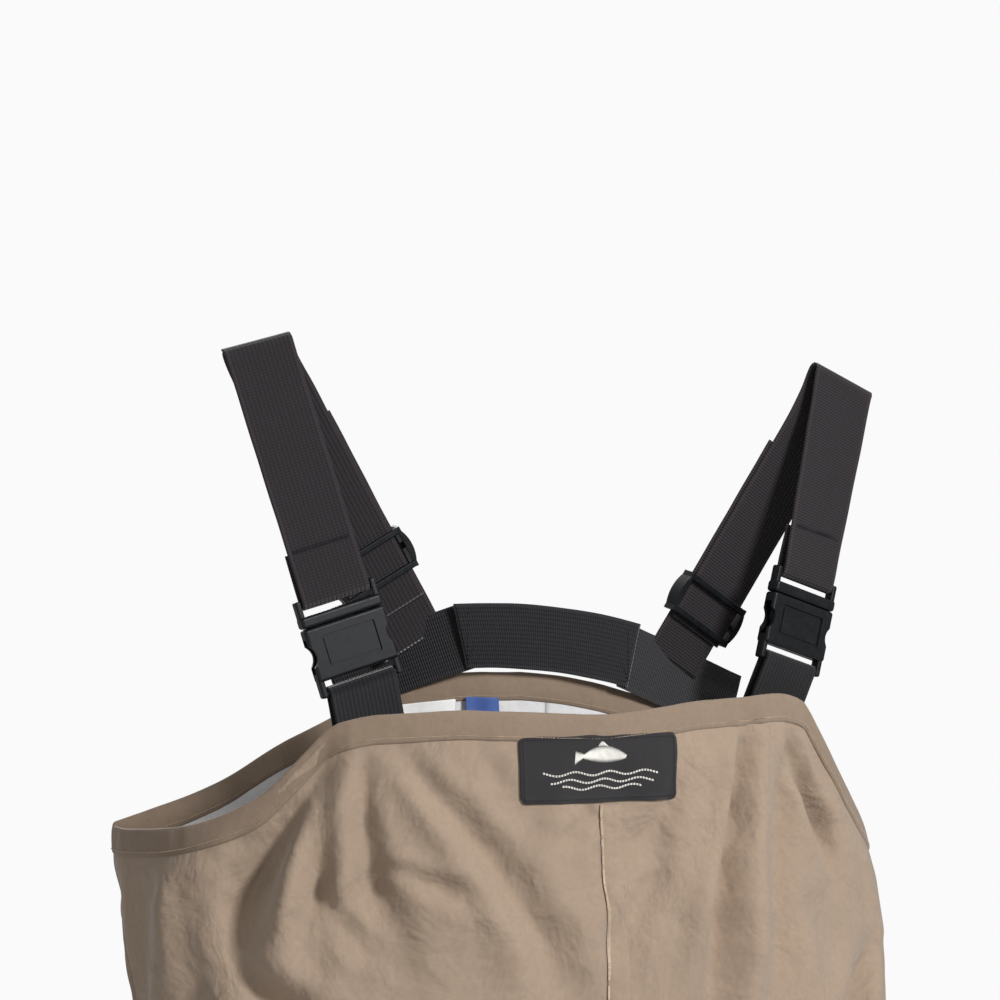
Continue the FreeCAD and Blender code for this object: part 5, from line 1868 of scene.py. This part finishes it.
@dataclass
class Booties:
    """Neoprene socks with zigzag-stitched seams and a denser flat sole."""

    wall: float = 0.004
    drop: float = 19.0
    sole: float = 0.005
    sole_y: float = -0.096
    sole_z: float = -1.722

    def rings(self, side: Side, shift: float, rows: int = 60, count: int = 56) -> Array:
        """Rows of points down the foot, from the ankle to the toe."""
        table = np.array(FOOT_SECTIONS)
        along = distance_along(table[:, :2])
        at = np.linspace(0, along[-1], rows)
        y, z, tilt, half, depth = (smooth_through(along, table[:, k], at) for k in range(5))
        tilt = np.radians(tilt)
        a = np.arange(count) / count * math.tau
        c, s = np.cos(a), np.sin(a)
        across = (half + shift)[:, None] * (np.sign(c) * np.abs(c) ** 0.9)[None, :]
        deep = (depth + shift)[:, None] * (np.sign(s) * np.abs(s) ** 0.9)[None, :]
        return np.stack([side.value * LEG_X + across, y[:, None] + deep * np.cos(tilt)[:, None],
                         z[:, None] - deep * np.sin(tilt)[:, None]], axis=-1)

    def above_sole(self, points: Array, lift: float) -> Array:
        """Points that reach below the sole's top are set on it."""
        drop = math.radians(self.drop)
        normal = np.array([0.0, -math.sin(drop), math.cos(drop)])
        middle = np.array([0.0, self.sole_y, self.sole_z])
        height = (points - middle) @ normal
        floor = np.maximum(height, lift)
        return points + normal * (floor - height)[..., None]

    def sock(self, side: Side, finishes: Finishes) -> Array:
        """The sock, with soft wrinkles over the instep and behind the heel."""
        rings = self.rings(side, 0.0)
        rows, count = rings.shape[:2]
        flat = rings.reshape(-1, 3)
        out = flat - np.repeat(rings.mean(axis=1), count, axis=0)
        out = unit_rows(out)
        bend = np.exp(-((flat[:, 2] + 1.60) / 0.045) ** 2) + 0.6 * np.exp(-((flat[:, 2] + 1.50) / 0.03) ** 2)
        lines = cloth_noise(flat / np.array([0.09, 0.05, 0.016]), 1.0, 21.0 + side.value, 2)
        body = cloth_noise(flat, 0.06, 31.0, 2)
        flat = flat + out * (-(1 - np.abs(lines)) ** 5 * 0.0022 * bend + body * 0.0012 - 0.0006)[:, None]
        flat = self.above_sole(flat, 0.0002)
        toe = self.above_sole(rings[-1].mean(axis=0)[None, :], 0.004)
        points = np.concatenate([flat, toe])
        faces = [f[::-1] for f in grid_faces(rows, count, closed=True)]
        tip, last = len(flat), (rows - 1) * count
        faces += [(last + (k + 1) % count, last + k, tip) for k in range(count)]
        uv = np.concatenate([np.stack(np.broadcast_arrays(np.arange(count)[None, :] * 0.006,
                                                          np.arange(rows)[:, None] * 0.006), axis=-1).reshape(-1, 2),
                             [[0.17, 0.37]]])
        name = f"{side.word}_bootie"
        piece = make_piece(name, points, [f[::-1] for f in faces], uv=uv)
        piece.data.flip_normals()
        add_modifier(piece, "SOLIDIFY", thickness=self.wall * 0.9, offset=-1.0)
        subdivided(piece)
        dress(piece, ROOT, "neoprene", finishes.neoprene, replaces=name)
        return flat.reshape(rows, count, 3)

    def seam(self, name: str, line: Array, out: Array, finishes: Finishes) -> None:
        """A raised flat-lock seam: zigzag stitches along a line."""
        both = resample(np.concatenate([line, out], axis=1), 0.0024)
        middle, face = both[:, :3], both[:, 3:]
        face = unit_rows(face)
        along = np.gradient(middle, axis=0)
        side = np.cross(along, face)
        side = unit_rows(side)
        turn = np.where(np.arange(len(middle)) % 2 == 0, 1.0, -1.0)[:, None]
        points = middle + side * turn * 0.0022 + face * 0.0006
        thread_piece(name, points[:-1], points[1:], face[:-1], 0.0004, finishes.dark_thread, "neoprene")

    def sole_plate(self, side: Side, finishes: Finishes) -> None:
        """The sole: a flat plate with a rounded edge that follows the sock's outline."""
        drop = math.radians(self.drop)
        normal = np.array([0.0, -math.sin(drop), math.cos(drop)])
        forward = np.array([0.0, -math.cos(drop), -math.sin(drop)])
        middle = np.array([side.value * LEG_X, self.sole_y, self.sole_z])
        rings = self.rings(side, 0.0, rows=120, count=72)
        local = rings.reshape(-1, 3) - middle
        near = local[np.abs(local @ normal + 0.0005) < 0.004]
        s, x = near @ forward, near[:, 0]
        edges = np.linspace(s.min(), s.max(), 44)
        half = []
        for low, high in zip(edges, edges[1:]):
            inside = np.abs(x[(s >= low - 0.004) & (s <= high + 0.004)])
            half.append(inside.max() if len(inside) else 0.0)
        places = (edges[:-1] + edges[1:]) / 2
        half = np.convolve(np.pad(half, 2, mode="edge"), np.ones(5) / 5, mode="valid")
        length, start = places[-1] - places[0], places[0]
        round_ends = np.sqrt(np.clip(1 - (np.abs((places - start) / length - 0.5) * 2) ** 7, 0, 1))
        half = np.maximum(half * round_ends, 0.002)
        loop = [(w, p) for w, p in zip(half, places)] + [(-w, p) for w, p in zip(half[::-1], places[::-1])]
        section = ((-0.0022, 0.0), (-0.0004, -0.0006), (0.0, -0.0018), (0.0, -0.0036), (-0.0006, -0.0046),
                   (-0.0020, -0.0050))
        centre = np.array([0.0, (places[0] + places[-1]) / 2])
        rows = []
        for inset, down in section:
            flat = np.array(loop)
            out = flat - centre
            out = unit_rows(out)
            flat = flat + out * inset
            rows.append(middle + flat[:, :1] * np.array([1.0, 0, 0]) + flat[:, 1:] * forward + normal * down)
        points = np.stack(rows).reshape(-1, 3)
        count = len(loop)
        faces = grid_faces(len(section), count, closed=True)
        n = len(section)
        for k in range(len(places) - 1):
            a, b, c, d = k, k + 1, count - 2 - k, count - 1 - k
            faces.append((a, b, c, d))
            low = (n - 1) * count
            faces.append((low + d, low + c, low + b, low + a))
        uv = np.concatenate([np.array(loop)] * n)
        name = f"{side.word}_bootie_sole"
        piece = make_piece(name, points, faces, uv=uv)
        add_modifier(piece, "WEIGHTED_NORMAL")
        baked_mesh(piece)
        dress(piece, ROOT, "sole_neoprene", finishes.sole, replaces=name)

    def build(self, finishes: Finishes) -> None:
        """Makes both booties."""
        for side in Side:
            grid = self.sock(side, finishes)
            centres = grid.mean(axis=1)
            for place, column in (("instep", 42), ("heel", 14)):
                line = grid[2:-2, column]
                keep = line[:, 2] > -1.70 if place == "heel" else line[:, 2] > -2
                out = (line - centres[2:-2])[keep]
                self.seam(f"{side.word}_{place}_seam", line[keep], out, finishes)
            self.sole_plate(side, finishes)
            log.info("%s bootie", side.word)


# ---- hardware and studio ----

@dataclass
class Hardware:
    """Finishes of the moulded and metal parts that the frame already holds."""

    steel_words: tuple[str, ...] = ("lace_hook",)
    plastic_words: tuple[str, ...] = ("buckle_plug", "buckle_prong", "buckle_socket", "slider")

    def dress_all(self, finishes: Finishes) -> None:
        """Gives every such part its finish."""
        for name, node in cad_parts.items():
            finish = None
            if any(word in name for word in self.steel_words):
                finish = finishes.steel
            elif any(word in name for word in self.plastic_words):
                finish = finishes.plastic
            if finish is not None:
                node.data.materials.clear()
                node.data.materials.append(finish)
        log.info("hardware dressed")


@dataclass
class Studio:
    """Camera, soft lights and a plain pale floor."""

    azimuth: float = -24.0
    distance: float = 2.4
    lens: float = 123.4
    target: Vector = field(default_factory=lambda: Vector((-0.0339, 0.0151, -0.0966)))
    floor_z: float = -1.80

    def light(self, name: str, place: Vector, aim: Vector, size: float, power: float) -> None:
        """A square soft light.

        Args:
            name: the light's name.
            place: where it stands.
            aim: what it points at.
            size: its side.
            power: its power in watts.
        """
        data = bpy.data.lights.new(name, "AREA")
        data.size = size
        data.energy = power
        lamp = bpy.data.objects.new(name, data)
        lamp.location = place
        lamp.rotation_euler = (aim - place).to_track_quat("-Z", "Y").to_euler()
        bpy.context.scene.collection.objects.link(lamp)

    def build(self) -> None:
        """Sets up the camera, the lights and the floor."""
        turn = math.radians(self.azimuth)
        back = Vector((math.sin(turn), -math.cos(turn), 0))
        camera = bpy.data.objects.new("camera", bpy.data.cameras.new("camera"))
        camera.data.lens = self.lens
        camera.data.sensor_width = 36.0
        camera.location = self.target + back * self.distance
        camera.rotation_euler = (math.radians(90), 0, turn)
        bpy.context.scene.collection.objects.link(camera)
        bpy.context.scene.camera = camera
        aim = Vector((0, 0, -0.35))
        self.light("key", Vector((0.95, -2.25, 1.05)), aim, 0.55, 80)
        self.light("fill", Vector((-1.9, -2.2, -0.2)), aim, 1.4, 9)
        self.light("back", Vector((0.3, 2.3, 0.8)), aim, 1.6, 34)
        floor = make_piece("floor", np.array([(-8, -8, 0), (8, -8, 0), (8, 8, 0), (-8, 8, 0)]) + np.array(
            [0, 0, self.floor_z]), [(0, 1, 2, 3)])
        pale, shader = blank_material("studio_floor", Base_Color=srgb(240, 240, 239), Roughness=0.9)
        tree = pale.node_tree
        place = add_node(tree, "ShaderNodeNewGeometry").outputs["Position"]
        reach = add_node(tree, "ShaderNodeVectorMath", {0: place, 1: (0.0, 0.0, self.floor_z)}, operation="DISTANCE")
        fade = add_node(tree, "ShaderNodeMapRange", {"Value": reach.outputs["Value"], "From Min": 0.5, "From Max": 2.6},
                        interpolation_type="SMOOTHERSTEP")
        clear = add_node(tree, "ShaderNodeBsdfTransparent")
        mixed_shader = add_node(tree, "ShaderNodeMixShader", {0: fade.outputs[0], 1: shader.outputs[0],
                                                              2: clear.outputs[0]})
        tree.links.new(mixed_shader.outputs[0], tree.nodes["Material Output"].inputs["Surface"])
        floor.data.materials.append(pale)
        world = bpy.data.worlds.new("studio")
        world.use_nodes = True
        sky = world.node_tree.nodes["Background"]
        sky.inputs["Color"].default_value = srgb(250, 250, 250)
        seen = add_node(world.node_tree, "ShaderNodeLightPath").outputs["Is Camera Ray"]
        glow = add_node(world.node_tree, "ShaderNodeMapRange", {"Value": seen, "To Min": 0.34, "To Max": 1.0})
        world.node_tree.links.new(glow.outputs[0], sky.inputs["Strength"])
        bpy.context.scene.world = world
        bpy.context.scene.view_settings.view_transform = "Standard"


def main() -> None:
    """Builds every piece of the waders, in order, and reports it."""
    logging.basicConfig(level=logging.INFO, format="%(name)s: %(message)s")
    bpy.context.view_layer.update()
    Studio().build()
    finishes = Finishes.make()
    garment = Garment().build(finishes)
    TopHems().build(garment, finishes)
    Seams().build(garment, finishes)
    ChestLabel().build(garment, finishes)
    InnerLabels().build(garment, finishes)
    Suspenders().build(finishes)
    BackBand().build(finishes)
    Belt().build(garment, finishes)
    AnkleCuffs().build(garment, finishes)
    Booties().build(finishes)
    Hardware().dress_all(finishes)


if __name__ == "__main__":
    main()
